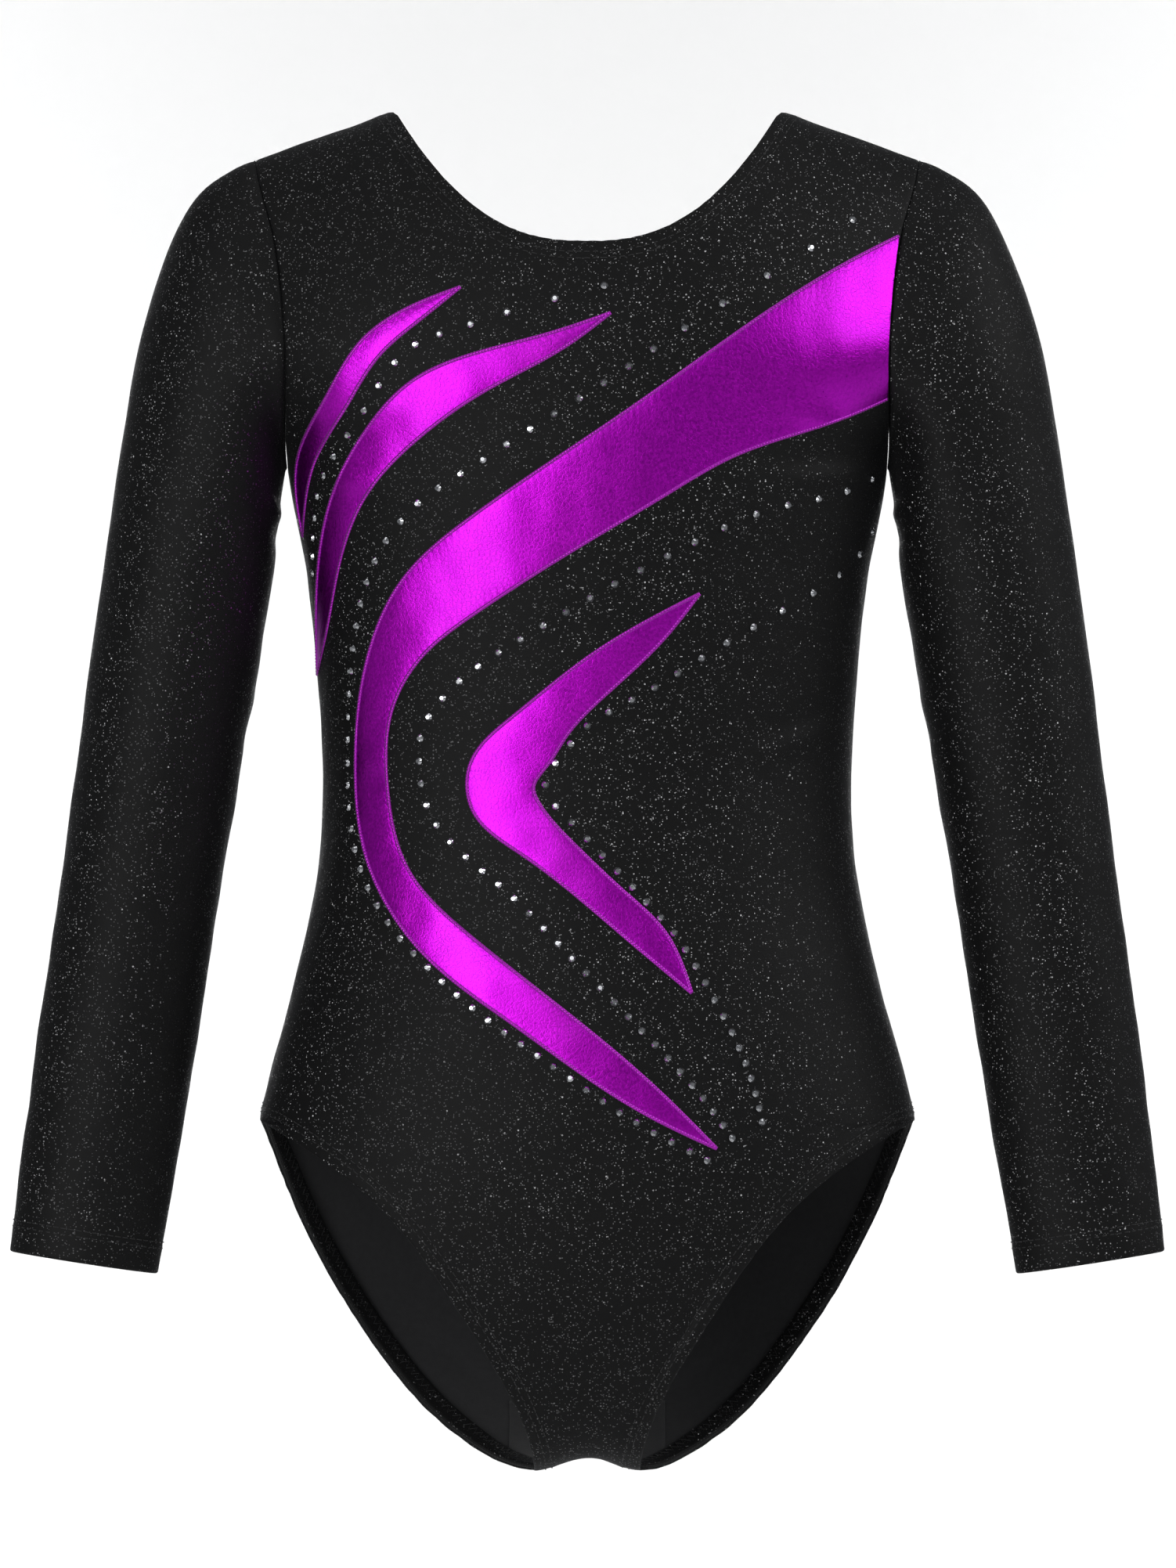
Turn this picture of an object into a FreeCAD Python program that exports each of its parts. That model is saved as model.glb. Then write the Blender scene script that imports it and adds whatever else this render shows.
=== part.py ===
"""Child's long-sleeved gymnastics leotard, sewn from stretch cloth, as it hangs on a body.

Millimetres. +Z is up, -Y is the front, +X is the wearer's left. The origin is half way
between the two points where the shoulder seams meet the neckline.
"""

import FreeCAD, Part
import math
import os

V = FreeCAD.Vector

# The driving dimensions: name, value, what it is.
SIZES = (
    ("cloth", 0.8, "thickness of the stretch cloth"),
    ("tape", 0.7, "thickness of elastic, lining and seam allowances"),
    ("foil", 0.3, "thickness of the foil cloth of the ornaments"),
    ("gap", 0.1, "clearance between two layers of cloth"),
    ("parting", 0.3, "clearance between the edges of two panels"),
    ("neck_half", 74.0, "half width of the neck opening at the shoulder seams"),
    ("neck_front", 51.4, "drop of the neckline at the front"),
    ("neck_back", 80.0, "drop of the neckline at the back"),
    ("shoulder_slope", 0.355, "fall of the shoulder seam for each unit of width"),
    ("shoulder_round", 95.0, "height over which the shoulders round over"),
    ("armpit_drop", 137.0, "drop of the armpit below the origin"),
    ("arm_angle", 52.0, "angle round the body at which the armhole lies"),
    ("hip_drop", 386.0, "drop of the leg openings' upper ends"),
    ("seat_drop", 395.0, "drop of the level below which the body rounds under"),
    ("crotch_drop", 524.8, "drop of the crotch, the lowest point"),
    ("hem", 8.0, "width of the elastic in the neck and leg hems"),
    ("allowance", 4.0, "half width of a pressed seam allowance"),
    ("cuff_hem", 13.0, "depth of the turned hem of a sleeve"),
    ("sleeve_lean", 8.7, "angle of the sleeve's axis from the vertical"),
    ("sleeve_x", 148.75, "place of the upper end of the sleeve's straight axis"),
    ("sleeve_z", -145.0, "height of the upper end of the sleeve's straight axis"),
    ("stone_radius", 1.5, "radius of a rhinestone at its foot"),
    ("table_radius", 0.75, "radius of a rhinestone's flat top"),
    ("stone_height", 1.2, "height of a rhinestone"),
    ("label_width", 28.0, "width of the blank size label"),
    ("label_height", 16.0, "height of the blank size label"),
    ("label_cloth", 0.4, "thickness of the blank size label"),
    ("reach", 200.0, "length of the cutting prisms, more than the body's depth"),
)

# Torso: height, half width at the panels' edges, depth of the front, depth of the back.
TORSO = (
    (40.0, 131.0, 52.0, 52.0),
    (-18.5, 128.0, 58.0, 58.0),
    (-50.0, 120.4, 61.0, 64.0),
    (-90.0, 116.2, 66.0, 70.0),
    (-137.0, 115.8, 69.0, 71.0),
    (-180.0, 108.3, 67.0, 67.0),
    (-225.0, 103.7, 63.5, 61.0),
    (-259.0, 102.1, 62.0, 59.0),
    (-295.0, 104.4, 64.0, 63.0),
    (-340.0, 114.2, 68.0, 73.0),
    (-386.0, 125.8, 70.0, 82.0),
    (-430.0, 129.0, 69.0, 84.0),
    (-530.0, 118.0, 66.0, 80.0),
)

# Sleeve head, from the armhole down: underarm point x, z; outer point x, z; half depth.
SLEEVE_HEAD = (
    (103.0, -137.0, 115.5, -18.3, 38.0),
    (115.8, -137.0, 128.3, -18.3, 38.5),
    (116.5, -139.5, 147.0, -29.0, 38.5),
    (117.4, -145.0, 160.5, -51.0, 38.0),
    (119.0, -157.5, 170.0, -80.5, 36.5),
)

# Straight sleeve: name, distance along the axis, tilt of the section, half width, half depth.
SLEEVE = (
    ("upper", 0.0, 40.0, 32.3, 33.5),
    ("bicep", 42.5, 20.0, 32.1, 31.5),
    ("arm", 85.0, 6.0, 31.6, 30.0),
    ("elbow", 144.7, 0.0, 30.6, 27.5),
    ("forearm", 226.6, 0.0, 30.4, 24.0),
    ("cuff", 302.5, 0.0, 28.8, 20.5),
)

# Leg openings seen from the front, x and z, from the side seam to the crotch.
FRONT_LEG = ((132, -384), (103, -403), (76, -425.5), (53, -456), (33, -488), (22, -512), (19, -530))
BACK_LEG = (
    (127.2, -384),
    (123.3, -398),
    (109, -434),
    (95.9, -458),
    (79.5, -482.5),
    (57.9, -506.6),
    (40.6, -518.7),
    (30.5, -522.9),
    (20, -525.2),
)

# Foil ornaments seen from the front: x and z of both edges, each from tip to tip.
ORNAMENTS = {
    "upper_swoosh": (
        ((-48.5, -69), (-66.5, -76), (-86.5, -89.5), (-100.5, -111.5), (-111, -132.5), (-109.5, -164)),
        ((-48.5, -69), (-64, -81.5), (-80, -95.5), (-93, -115.5), (-104, -134), (-109.5, -164)),
    ),
    "middle_swoosh": (
        ((9, -79), (-13, -86.5), (-46, -95.5), (-67, -105), (-85, -124), (-97.5, -147.5), (-104, -183.5),
         (-104, -217)),
        ((9, -79), (-8.5, -92), (-38.5, -108.5), (-66, -128), (-85, -149), (-95, -174.5), (-100, -200),
         (-104, -217)),
    ),
    "main_band": (
        ((124, -46.5), (101, -58.5), (66, -80.5), (17.5, -115), (-44, -157), (-71, -181.5), (-84, -210),
         (-89, -252), (-84, -290), (-76, -307), (-64, -323), (-29.5, -350.5), (22, -385.5), (49.5, -399)),
        ((124, -107), (96.5, -119.5), (55.5, -134), (31, -148), (3.5, -164.5), (-34, -188), (-48, -197.5),
         (-61, -208), (-74.5, -230), (-76.5, -261), (-69, -291.5), (-45, -317.5), (-4, -350), (27.5, -377),
         (49.5, -399)),
    ),
    "chevron": (
        ((43, -186.5), (3, -209), (-29, -234), (-45, -252.5), (-44, -269), (-25.5, -286), (11.5, -315.5),
         (40, -339.5)),
        ((43, -186.5), (30, -203), (5, -227), (-8, -241), (-15.5, -252.5), (-20.5, -261), (-18, -267.5),
         (-5.5, -282), (14, -300.5), (30, -316.5), (40, -339.5)),
    ),
}

# Rows of stones seen from the front: path, number, and the gap that follows some of them, counted from 0.
STONE_ROWS = {
    "stones_upper_row": (
        ((6.5, -68.5), (-12.5, -73.5), (-31.5, -79), (-45.5, -83.5), (-56.5, -87), (-66, -91), (-73.5, -97.5),
         (-85, -115), (-97.5, -134), (-101.5, -141.5), (-105, -158), (-105.5, -178)),
        17, ((0, 20), (1, 19.5), (2, 15), (4, 10.4), (8, 11.5), (10, 8.4), (12, 8.4), (15, 6.6)),
    ),
    "stones_outer_row": (
        ((102, -42.5), (86, -53.5), (53, -74.5), (26, -92.5), (7, -105.5), (-21, -123), (-47.5, -140),
         (-64.5, -151.5), (-77, -166), (-84.5, -181.5), (-88.5, -198), (-91.5, -225), (-92, -247),
         (-91.5, -268), (-89, -285), (-84, -299.5), (-76.5, -312.5), (-61.5, -329.5), (-38, -350),
         (-11.5, -368.5), (12.5, -385), (46, -403.5)),
        56, ((0, 19.5), (2, 20), (5, 11.5), (10, 10.7), (14, 9.7), (18, 8.5), (26, 8.8), (32, 7.6), (54, 7.6)),
    ),
    "stones_inner_row": (
        ((109.5, -142), (99, -147), (77, -152.5), (65, -156), (41, -167), (10.5, -183), (-25.5, -204),
         (-42, -214.5), (-55.5, -226.5), (-64, -241.5), (-64.5, -251), (-61.5, -268), (-57.5, -275.5),
         (-34, -298), (-16.5, -315), (5.5, -338), (31, -364.5), (44.5, -380), (55.5, -395)),
        46, ((0, 11), (4, 13.5), (6, 12), (15, 9.3), (25, 8.3), (35, 7.8), (44, 6.2)),
    ),
    "stones_chevron_row": (
        ((109.5, -162), (104.5, -171), (96, -179.5), (73, -194), (42, -212.5), (24, -223.5), (6.5, -233),
         (-1, -238), (-7.5, -245.5), (-13, -252.5), (-16, -260.5), (-10.5, -269.5), (6.5, -287.5),
         (23.5, -305.5), (33.5, -317), (49, -342.5), (58.5, -361), (64.5, -378), (67, -389)),
        37, ((0, 10.1), (3, 13.9), (5, 12), (8, 10.4), (14, 9.3), (20, 8.3), (27, 7.4), (35, 5.6)),
    ),
}

ROUNDING_STEPS = (0, 10, 20, 30, 40, 50, 60, 70, 80, 90)
BODY_LEVELS = (-150, -165, -185, -205, -225, -245, -265, -285, -305, -325, -345, -365, -382)
UNDER_STEPS = (0, 10, 20, 30, 40, 50, 60, 70, 80, 90)
COLUMNS = 24
RING_POINTS = 24
BACK_FULLNESS = 2.4
FRONT_FULLNESS = 2.0
NECK_POWER = {"front": 2.46, "back": 2.2}
ARMHOLE_RISE = 50.0

doc = FreeCAD.newDocument("leotard")
sheet = doc.addObject("Spreadsheet::Sheet", "Sizes")
for line, (alias, value, meaning) in enumerate(SIZES, start=1):
    sheet.set(f"A{line}", meaning)
    sheet.set(f"B{line}", str(value))
    sheet.setAlias(f"B{line}", alias)
first_sleeve_line = len(SIZES) + 1
for index, (name, along, tilt, width, depth) in enumerate(SLEEVE):
    for offset, (part, value) in enumerate((("half_width", width / math.cos(math.radians(tilt))), ("half_depth", depth))):
        line = first_sleeve_line + 2 * index + offset
        sheet.set(f"A{line}", f"sleeve at the {name}: {part}")
        sheet.set(f"B{line}", str(round(value, 3)))
        sheet.setAlias(f"B{line}", f"{name}_{part}")
doc.recompute()


def size(alias):
    """A driving dimension, read from the sheet."""
    return float(sheet.get(alias))


def between(table, height, column):
    """A smooth curve through one column of a table of stations, read at a height."""
    rows = len(table)
    index = 0
    while index < rows - 2 and height < table[index + 1][0]:
        index += 1

    def slope(i):
        low, high = max(i - 1, 0), min(i + 1, rows - 1)
        return (table[high][column] - table[low][column]) / (table[high][0] - table[low][0])

    top, bottom = table[index], table[index + 1]
    span = bottom[0] - top[0]
    part = min(max((height - top[0]) / span, 0.0), 1.0)
    square, cube = part ** 2, part ** 3
    return (
        (2 * cube - 3 * square + 1) * top[column]
        + (cube - 2 * square + part) * span * slope(index)
        + (3 * square - 2 * cube) * bottom[column]
        + (cube - square) * span * slope(index + 1)
    )


def edge_angle(height):
    """How far round the body a panel's edge lies: 90 degrees at the side seam, less at the armhole."""
    rise = min(max((height + size("armpit_drop")) / ARMHOLE_RISE, 0.0), 1.0)
    return math.radians(90.0 - (90.0 - size("arm_angle")) * math.sin(math.pi / 2 * rise))


def shoulder_height(across):
    """Height of the shoulder seam, which rises straight from the sleeve to the neck."""
    top = math.radians(size("arm_angle"))
    x = abs(128.0 * math.sin(across * top) / math.sin(top))
    flat = 60.0
    if x < flat:
        x = flat - (flat ** 2 - x ** 2) / (2 * flat)
    return -size("shoulder_slope") * (x - 76.0)


def torso_point(face, across, level, inset):
    """A point of the body's surface, which is inset below the outer face of the cloth."""
    kind, value = level
    seam = shoulder_height(across)
    round_over = size("shoulder_round")
    swell = 1.0
    if kind == "shoulder":
        turn = math.radians(value)
        height = seam - inset - (round_over - inset) * (1 - math.cos(turn))
        swell = math.sin(turn)
    elif kind == "chest":
        height = (1 - value) * (seam - round_over) - value * size("armpit_drop")
    elif kind == "body":
        height = value
    else:
        turn = math.radians(value)
        start = size("seat_drop")
        height = -start - (size("crotch_drop") - inset - start) * math.sin(turn)
        fullness = FRONT_FULLNESS if face == "front" else BACK_FULLNESS
        swell = max(1 - math.sin(turn) ** fullness, 0.0) ** 0.5
    angle = edge_angle(height)
    half = between(TORSO, height, 1) / math.sin(angle) - inset
    depth = between(TORSO, height, 2 if face == "front" else 3) - inset
    x = half * math.sin(across * angle)
    y = depth * math.cos(across * angle) * swell
    return V(x, -y if face == "front" else y, height)


LEVELS = (
    [("shoulder", step) for step in ROUNDING_STEPS]
    + [("chest", 0.5), ("chest", 1.0)]
    + [("body", level) for level in BODY_LEVELS]
    + [("under", step) for step in UNDER_STEPS]
)


def skin(face, inset):
    """The surface of the front or the back at one depth in the cloth."""
    columns = [2 * i / COLUMNS - 1 for i in range(COLUMNS + 1)]
    surface = Part.BSplineSurface()
    surface.interpolate([[torso_point(face, across, level, inset) for across in columns] for level in LEVELS])
    return surface


def layer(face, outer, inner):
    """A closed sheet of cloth between two depths."""
    skins = [skin(face, outer), skin(face, inner)]
    faces = [s.toShape() for s in skins]
    low_u, high_u, low_v, high_v = skins[0].bounds()
    for pick in (("uIso", 0), ("uIso", 1), ("vIso", 2), ("vIso", 3)):
        edges = [getattr(s, pick[0])(s.bounds()[pick[1]]).toShape() for s in skins]
        faces.append(Part.makeRuledSurface(edges[0], edges[1]))
    sewn = Part.Compound(faces)
    sewn.sewShape(0.01)
    solid = Part.makeSolid(sewn.Shells[0] if sewn.Shells else Part.Shell(sewn.Faces))
    if solid.Volume < 0:
        solid.reverse()
    return solid


def feature(name, shape):
    """A document object that holds a shape worked out above."""
    made = doc.addObject("Part::Feature", name)
    made.Shape = shape
    return made


def flat(points):
    """Points of a view from the front, as a list in space."""
    return [V(x, 0, z) for x, z in points]


def curve(points):
    """A smooth edge through points."""
    line = Part.BSplineCurve()
    line.interpolate(points)
    return line


def outline(name, curves):
    """A face seen from the front, bounded by smooth curves joined end to end by straight lines."""
    edges = []
    for index, points in enumerate(curves):
        edges.append(curve(points).toShape() if len(points) > 2 else Part.LineSegment(*points).toShape())
        after = curves[(index + 1) % len(curves)][0]
        if (points[-1] - after).Length > 1e-6:
            edges.append(Part.LineSegment(points[-1], after).toShape())
    face = Part.Face(Part.Wire(edges))
    return feature(name, face)


def prism(name, face, way):
    """The space in front of the body (way -1), behind it (way 1) or both (way 0) that an outline covers."""
    solid = doc.addObject("Part::Extrusion", name)
    solid.Base = face
    solid.DirMode = "Custom"
    solid.Dir = V(0, way or 1, 0)
    solid.Solid = True
    solid.setExpression("LengthFwd", "Sizes.reach")
    if not way:
        solid.setExpression("LengthRev", "Sizes.reach")
    return solid


def slab(name, low, high):
    """A plain box from one corner to the other."""
    solid = doc.addObject("Part::Box", name)
    solid.Length, solid.Width, solid.Height = (high[i] - low[i] for i in range(3))
    solid.Placement.Base = V(*low)
    return solid


def cut(name, base, tool):
    """base less tool."""
    made = doc.addObject("Part::Cut", name)
    made.Base = base
    made.Tool = tool
    return made


def common(name, *shapes):
    """What all the shapes share."""
    made = doc.addObject("Part::MultiCommon", name)
    made.Shapes = list(shapes)
    return made


def together(name, *shapes):
    """Several shapes side by side."""
    made = doc.addObject("Part::Compound", name)
    made.Links = list(shapes)
    return made


nodes = {}


def node(label, made):
    """Names a finished sub-part."""
    made.Label = label
    nodes[label] = made
    return made


def neck_outline(face, margin):
    """The neck opening seen from the front, widened by a margin."""
    half = size("neck_half") + margin
    drop = size("neck_front" if face == "front" else "neck_back") + margin
    power = NECK_POWER[face]
    shares = [i / 8 for i in range(-8, 9)]
    dip = [(half * s, -drop * (1 - abs(s) ** power)) for s in shares]
    top = 60.0
    return outline(f"neck_{face}_{int(margin)}", [flat(dip), flat([(half, top), (-half, top)])])


def moved_in(points, margin):
    """An open outline moved towards the body's middle by a margin."""
    result = []
    for i, (x, z) in enumerate(points):
        ahead, behind = points[min(i + 1, len(points) - 1)], points[max(i - 1, 0)]
        along_x, along_z = ahead[0] - behind[0], ahead[1] - behind[1]
        length = math.hypot(along_x, along_z)
        result.append((x + margin * along_z / length, z - margin * along_x / length))
    return result


def leg_outline(face, side, margin):
    """A leg opening seen from the front, widened by a margin."""
    points = moved_in(FRONT_LEG if face == "front" else BACK_LEG, margin)
    points = [(side * x, z) for x, z in points]
    far_x, low = side * 190.0, -560.0
    sides = [flat(points), flat([(points[-1][0], low), (far_x, low)]), flat([(far_x, low), (far_x, points[0][1])])]
    return outline(f"leg_{face}_{'left' if side > 0 else 'right'}_{int(margin)}", sides)


# Torso layers, and the openings cut through them.
WAY = {"front": -1, "back": 1}
SIDES = {"left": 1, "right": -1}
cloth, gap, tape, foil = size("cloth"), size("gap"), size("tape"), size("foil")
parting, hem, allowance = size("parting"), size("hem"), size("allowance")
panels, linings = {}, {}
for face, way in WAY.items():
    near, far = parting / 2, size("reach")
    low_y, high_y = (near, far) if way > 0 else (-far, -near)
    half_space = slab(f"{face}_half", (-300, low_y, -600), (300, high_y, 100))
    tools = [prism(f"neck_{face}", neck_outline(face, 0), way)]
    tools += [prism(f"leg_{face}_{side}", leg_outline(face, sign, 0), way) for side, sign in SIDES.items()]
    openings = together(f"{face}_openings", *tools)
    for kind, outer, inner, store in (
        ("panel", 0.0, cloth, panels),
        ("lining", cloth + gap, cloth + gap + tape, linings),
    ):
        whole = feature(f"{face}_{kind}_whole", layer(face, outer, inner))
        shape = common(f"{face}_{kind}_side", whole, half_space)
        for tool in tools:
            shape = cut(f"{face}_{kind}_less_{tool.Name}", shape, tool)
        store[face] = shape
    node(f"{face}_panel", panels[face])


def band(label, *pieces):
    """A sub-part made of a piece inside the front and a piece inside the back."""
    node(label, together(label, *pieces))


# Elastic in the neck and leg hems, inside the cloth.
band(
    "neckline_elastic",
    *[
        common(
            f"neck_elastic_{face}",
            linings[face],
            prism(f"neck_wide_{face}", neck_outline(face, hem), way),
        )
        for face, way in WAY.items()
    ],
)
for side, sign in SIDES.items():
    band(
        f"{side}_leg_elastic",
        *[
            common(
                f"leg_elastic_{face}_{side}",
                linings[face],
                prism(f"leg_wide_{face}_{side}", leg_outline(face, sign, hem), way),
            )
            for face, way in WAY.items()
        ],
    )

# Seam allowances, pressed open inside the cloth.
margin = 1.0
for side, sign in SIDES.items():
    low, high = sorted((sign * (size("neck_half") + hem + margin), sign * 119.0))
    shoulder = slab(f"shoulder_zone_{side}", (low, -allowance, -60), (high, allowance, 20))
    band(f"{side}_shoulder_seam", *[common(f"shoulder_{f}_{side}", linings[f], shoulder) for f in WAY])
    low, high = sorted((sign * 90.0, sign * 150.0))
    lower_end = -size("hip_drop") + hem + margin + 3
    flank = slab(f"side_zone_{side}", (low, -allowance, lower_end), (high, allowance, -size("armpit_drop") - 9))
    band(f"{side}_side_seam", *[common(f"side_{f}_{side}", linings[f], flank) for f in WAY])
    heights = (-10, -40, -70, -100, -137, -145)
    line = [(sign * (between(TORSO, z, 1) - 6.5), z) for z in heights]
    far = sign * 190.0
    armhole = outline(f"armhole_{side}", [flat(line), flat([(far, heights[-1]), (far, heights[0])])])
    ring = prism(f"armhole_zone_{side}", armhole, 0)
    band(f"{side}_armhole_seam", *[common(f"armhole_{f}_{side}", linings[f], ring) for f in WAY])

# Lining of the crotch and the seam that closes it.
half_gusset = 30.0
gusset = {
    "front": slab("gusset_front_zone", (-half_gusset, -90, -540), (half_gusset, -allowance - 0.5, -455)),
    "back": slab("gusset_back_zone", (-half_gusset, allowance + 0.5, -540), (half_gusset, 60, -500)),
}
pieces = []
for face, way in WAY.items():
    piece = common(f"gusset_{face}", linings[face], gusset[face])
    for side, sign in SIDES.items():
        wide = prism(f"gusset_leg_{face}_{side}", leg_outline(face, sign, hem + margin), way)
        piece = cut(f"gusset_{face}_less_{side}", piece, wide)
    pieces.append(piece)
band("gusset_lining", *pieces)
seam_zone = slab("crotch_zone", (-10, -allowance, -540), (10, allowance, -505))
band("crotch_seam", *[common(f"crotch_{face}", linings[face], seam_zone) for face in WAY])

# Foil ornaments, laid on the front.
outer_layer = feature("ornament_layer", layer("front", -gap - foil, -gap))
front_half = doc.getObject("front_half")
front_layer = common("ornament_front", outer_layer, front_half)
for label, (first, second) in ORNAMENTS.items():
    face = outline(f"{label}_outline", [flat(first), flat(second)[::-1]])
    node(label, common(label, front_layer, prism(f"{label}_zone", face, -1)))


def level_at(x, z):
    """across and level of the front that a point seen from the front lies at."""
    across = 0.5
    for _ in range(40):
        seam = shoulder_height(across)
        drop = seam - z
        if z > -size("armpit_drop") and drop < size("shoulder_round"):
            level = ("shoulder", math.degrees(math.acos(1 - drop / size("shoulder_round"))))
        elif z > -size("seat_drop"):
            level = ("body", z)
        else:
            share = (-z - size("seat_drop")) / (size("crotch_drop") - size("seat_drop"))
            level = ("under", math.degrees(math.asin(min(share, 1))))
        angle = edge_angle(z)
        half = between(TORSO, z, 1) / math.sin(angle)
        across = math.asin(max(min(x / half, 1), -1)) / angle
    return across, level


def on_front(x, z):
    """The point of the front's outer face seen at x, z from the front, and its outward direction."""
    step = 0.002
    across, level = level_at(x, z)
    place = torso_point("front", across, level, 0.0)
    beside = torso_point("front", across + step, level, 0.0) - torso_point("front", across - step, level, 0.0)
    above = torso_point("front", *level_at(place.x, z + 0.5), 0.0)
    below = torso_point("front", *level_at(place.x, z - 0.5), 0.0)
    outward = beside.cross(above - below)
    outward.normalize()
    return place, outward if outward.y < 0 else outward * -1


def gap_after(stone, known):
    """The gap after a stone, from those that are known."""
    for (first, at_first), (second, at_second) in zip(known, known[1:]):
        if first <= stone <= second:
            return at_first + (at_second - at_first) * (stone - first) / (second - first)
    return known[-1][1]


def stone_row(path, count, known):
    """Rhinestones along a path seen from the front."""
    line = curve(flat(path))
    gaps = [gap_after(stone, known) for stone in range(count - 1)]
    total = sum(gaps)
    stones = []
    for index in range(count):
        travelled = line.length() * sum(gaps[:index]) / total
        seen = line.value(line.parameterAtDistance(travelled, line.FirstParameter))
        place, outward = on_front(seen.x, seen.z)
        foot = place + outward * (2 * gap)
        stones.append(
            Part.makeCone(size("stone_radius"), size("table_radius"), size("stone_height"), foot, outward)
        )
    return Part.Compound(stones)


for label, (path, count, known) in STONE_ROWS.items():
    node(label, feature(label, stone_row(path, count, known)))

# Blank size label, sewn inside the back below the neckline.
label_drop = size("neck_back") + hem + size("label_height") / 2 + 2
behind = torso_point("back", 0.0, ("body", -label_drop), cloth + gap + tape + 2 * gap)
lower = torso_point("back", 0.0, ("body", -label_drop - size("label_height") / 2), cloth + gap + tape + 2 * gap)
size_label = doc.addObject("Part::Box", "size_label")
size_label.setExpression("Length", "Sizes.label_width")
size_label.setExpression("Width", "Sizes.label_cloth")
size_label.setExpression("Height", "Sizes.label_height")
size_label.Placement.Base = V(-size("label_width") / 2, behind.y - 3.5, -label_drop - size("label_height") / 2)
node("size_label", size_label)


def head_ring(station, inset):
    """A section of the sleeve head, an oval between the underarm and the outer edge."""
    inner_x, inner_z, outer_x, outer_z, depth = station
    middle = V((inner_x + outer_x) / 2, 0, (inner_z + outer_z) / 2)
    reach = V(outer_x - inner_x, 0, outer_z - inner_z)
    half = reach.Length / 2
    reach.normalize()
    turns = [2 * math.pi * i / RING_POINTS for i in range(RING_POINTS)]
    return [
        middle + reach * ((half - inset) * math.cos(turn)) + V(0, (depth - inset) * math.sin(turn), 0)
        for turn in turns
    ]


def closed(points):
    """A smooth closed wire."""
    line = Part.BSplineCurve()
    line.interpolate(points, PeriodicFlag=True)
    return Part.Wire(line.toShape())


def axis_point(along):
    """A point of the sleeve's straight axis."""
    lean = math.radians(size("sleeve_lean"))
    return V(size("sleeve_x") + along * math.sin(lean), 0, size("sleeve_z") - along * math.cos(lean))


def oval(name, station, inset, shift=0.0):
    """A section of the straight sleeve, bound to the sheet."""
    part, along, tilt = station[:3]
    made = doc.addObject("Part::Ellipse", name)
    made.setExpression("MajorRadius", f"Sizes.{part}_half_width - {inset}")
    made.setExpression("MinorRadius", f"Sizes.{part}_half_depth - {inset}")
    turn = FreeCAD.Rotation(V(0, 1, 0), -(tilt + size("sleeve_lean")))
    made.Placement = FreeCAD.Placement(axis_point(along + shift), turn)
    return made


def loft(name, sections):
    """A smooth solid through sections."""
    made = doc.addObject("Part::Loft", name)
    made.Sections = sections
    made.Solid = True
    return made


def tube(name, outer_inset, inner_inset, stations):
    """A tube of cloth between two depths, through (station, shift) pairs."""
    walls = []
    for face, inset in (("outer", outer_inset), ("inner", inner_inset)):
        ends = [
            oval(f"{name}_{face}_{i}", station, inset, shift) for i, (station, shift) in enumerate(stations)
        ]
        walls.append(loft(f"{name}_{face}", ends))
    return cut(name, walls[0], walls[1])


# Sleeves: the head stays with the torso, and the tube below it swings.
head_rings = {}
for face, inset in (("outer", 0.0), ("inner", cloth)):
    rings = [head_ring(station, inset) for station in SLEEVE_HEAD]
    lean = math.radians(size("sleeve_lean") + SLEEVE[0][2])
    centre = axis_point(-parting)
    half = size("upper_half_width")
    last = (
        centre.x - half * math.cos(lean),
        centre.z - half * math.sin(lean),
        centre.x + half * math.cos(lean),
        centre.z + half * math.sin(lean),
        size("upper_half_depth"),
    )
    rings.append(head_ring(last, inset))
    sections = [feature(f"head_{face}_ring_{i}", closed(points)) for i, points in enumerate(rings)]
    head_rings[face] = loft(f"head_{face}", sections)
heights = (20, -18, -50, -80, -110, -137, -160)
line = [(between(TORSO, z, 1) + parting, z) for z in heights]
torso_side = outline("torso_side", [flat(line), flat([(60, heights[-1]), (60, heights[0])])])
whole_head = cut("whole_head", head_rings["outer"], head_rings["inner"])
sleeve_head = cut("sleeve_head", whole_head, prism("torso_zone", torso_side, 0))
stations = [(station, 0.0) for station in SLEEVE]
sleeve = tube("sleeve", 0.0, cloth, stations)
lined = tube("sleeve_lining", cloth + gap, cloth + gap + tape, stations)
turned = tube(
    "cuff_turned", cloth + gap, cloth + gap + tape, [(SLEEVE[-1], -size("cuff_hem")), (SLEEVE[-1], -0.2)]
)
seam_top = axis_point(12)
seam_end = axis_point(SLEEVE[-1][1] - size("cuff_hem") - 3)
strip = Part.makeBox(60, 2 * allowance, (seam_end - seam_top).Length, V(-60, -allowance, 0))
strip.Placement = FreeCAD.Placement(
    seam_end, FreeCAD.Rotation(V(0, 1, 0), -size("sleeve_lean"))
).multiply(strip.Placement)
underarm = common("underarm", lined, feature("underarm_zone", strip))


def mirrored(name, source):
    """The same piece on the wearer's right."""
    made = doc.addObject("Part::Mirroring", name)
    made.Source = source
    made.Base = V(0, 0, 0)
    made.Normal = V(1, 0, 0)
    return made


for label, made in (
    ("sleeve_head", sleeve_head),
    ("sleeve", sleeve),
    ("cuff_hem", turned),
    ("sleeve_seam", underarm),
):
    node(f"left_{label}", made)
    node(f"right_{label}", mirrored(f"right_{label}", made))

doc.recompute()
for made in doc.Objects:
    if "Invalid" in made.State or "Error" in made.State:
        raise RuntimeError(f"{made.Name} did not build: {made.State}")
for label, made in nodes.items():
    if made.Shape.isNull() or not made.Shape.isValid() or not made.Shape.Solids:
        raise RuntimeError(f"{label} has no valid solid")

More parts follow.
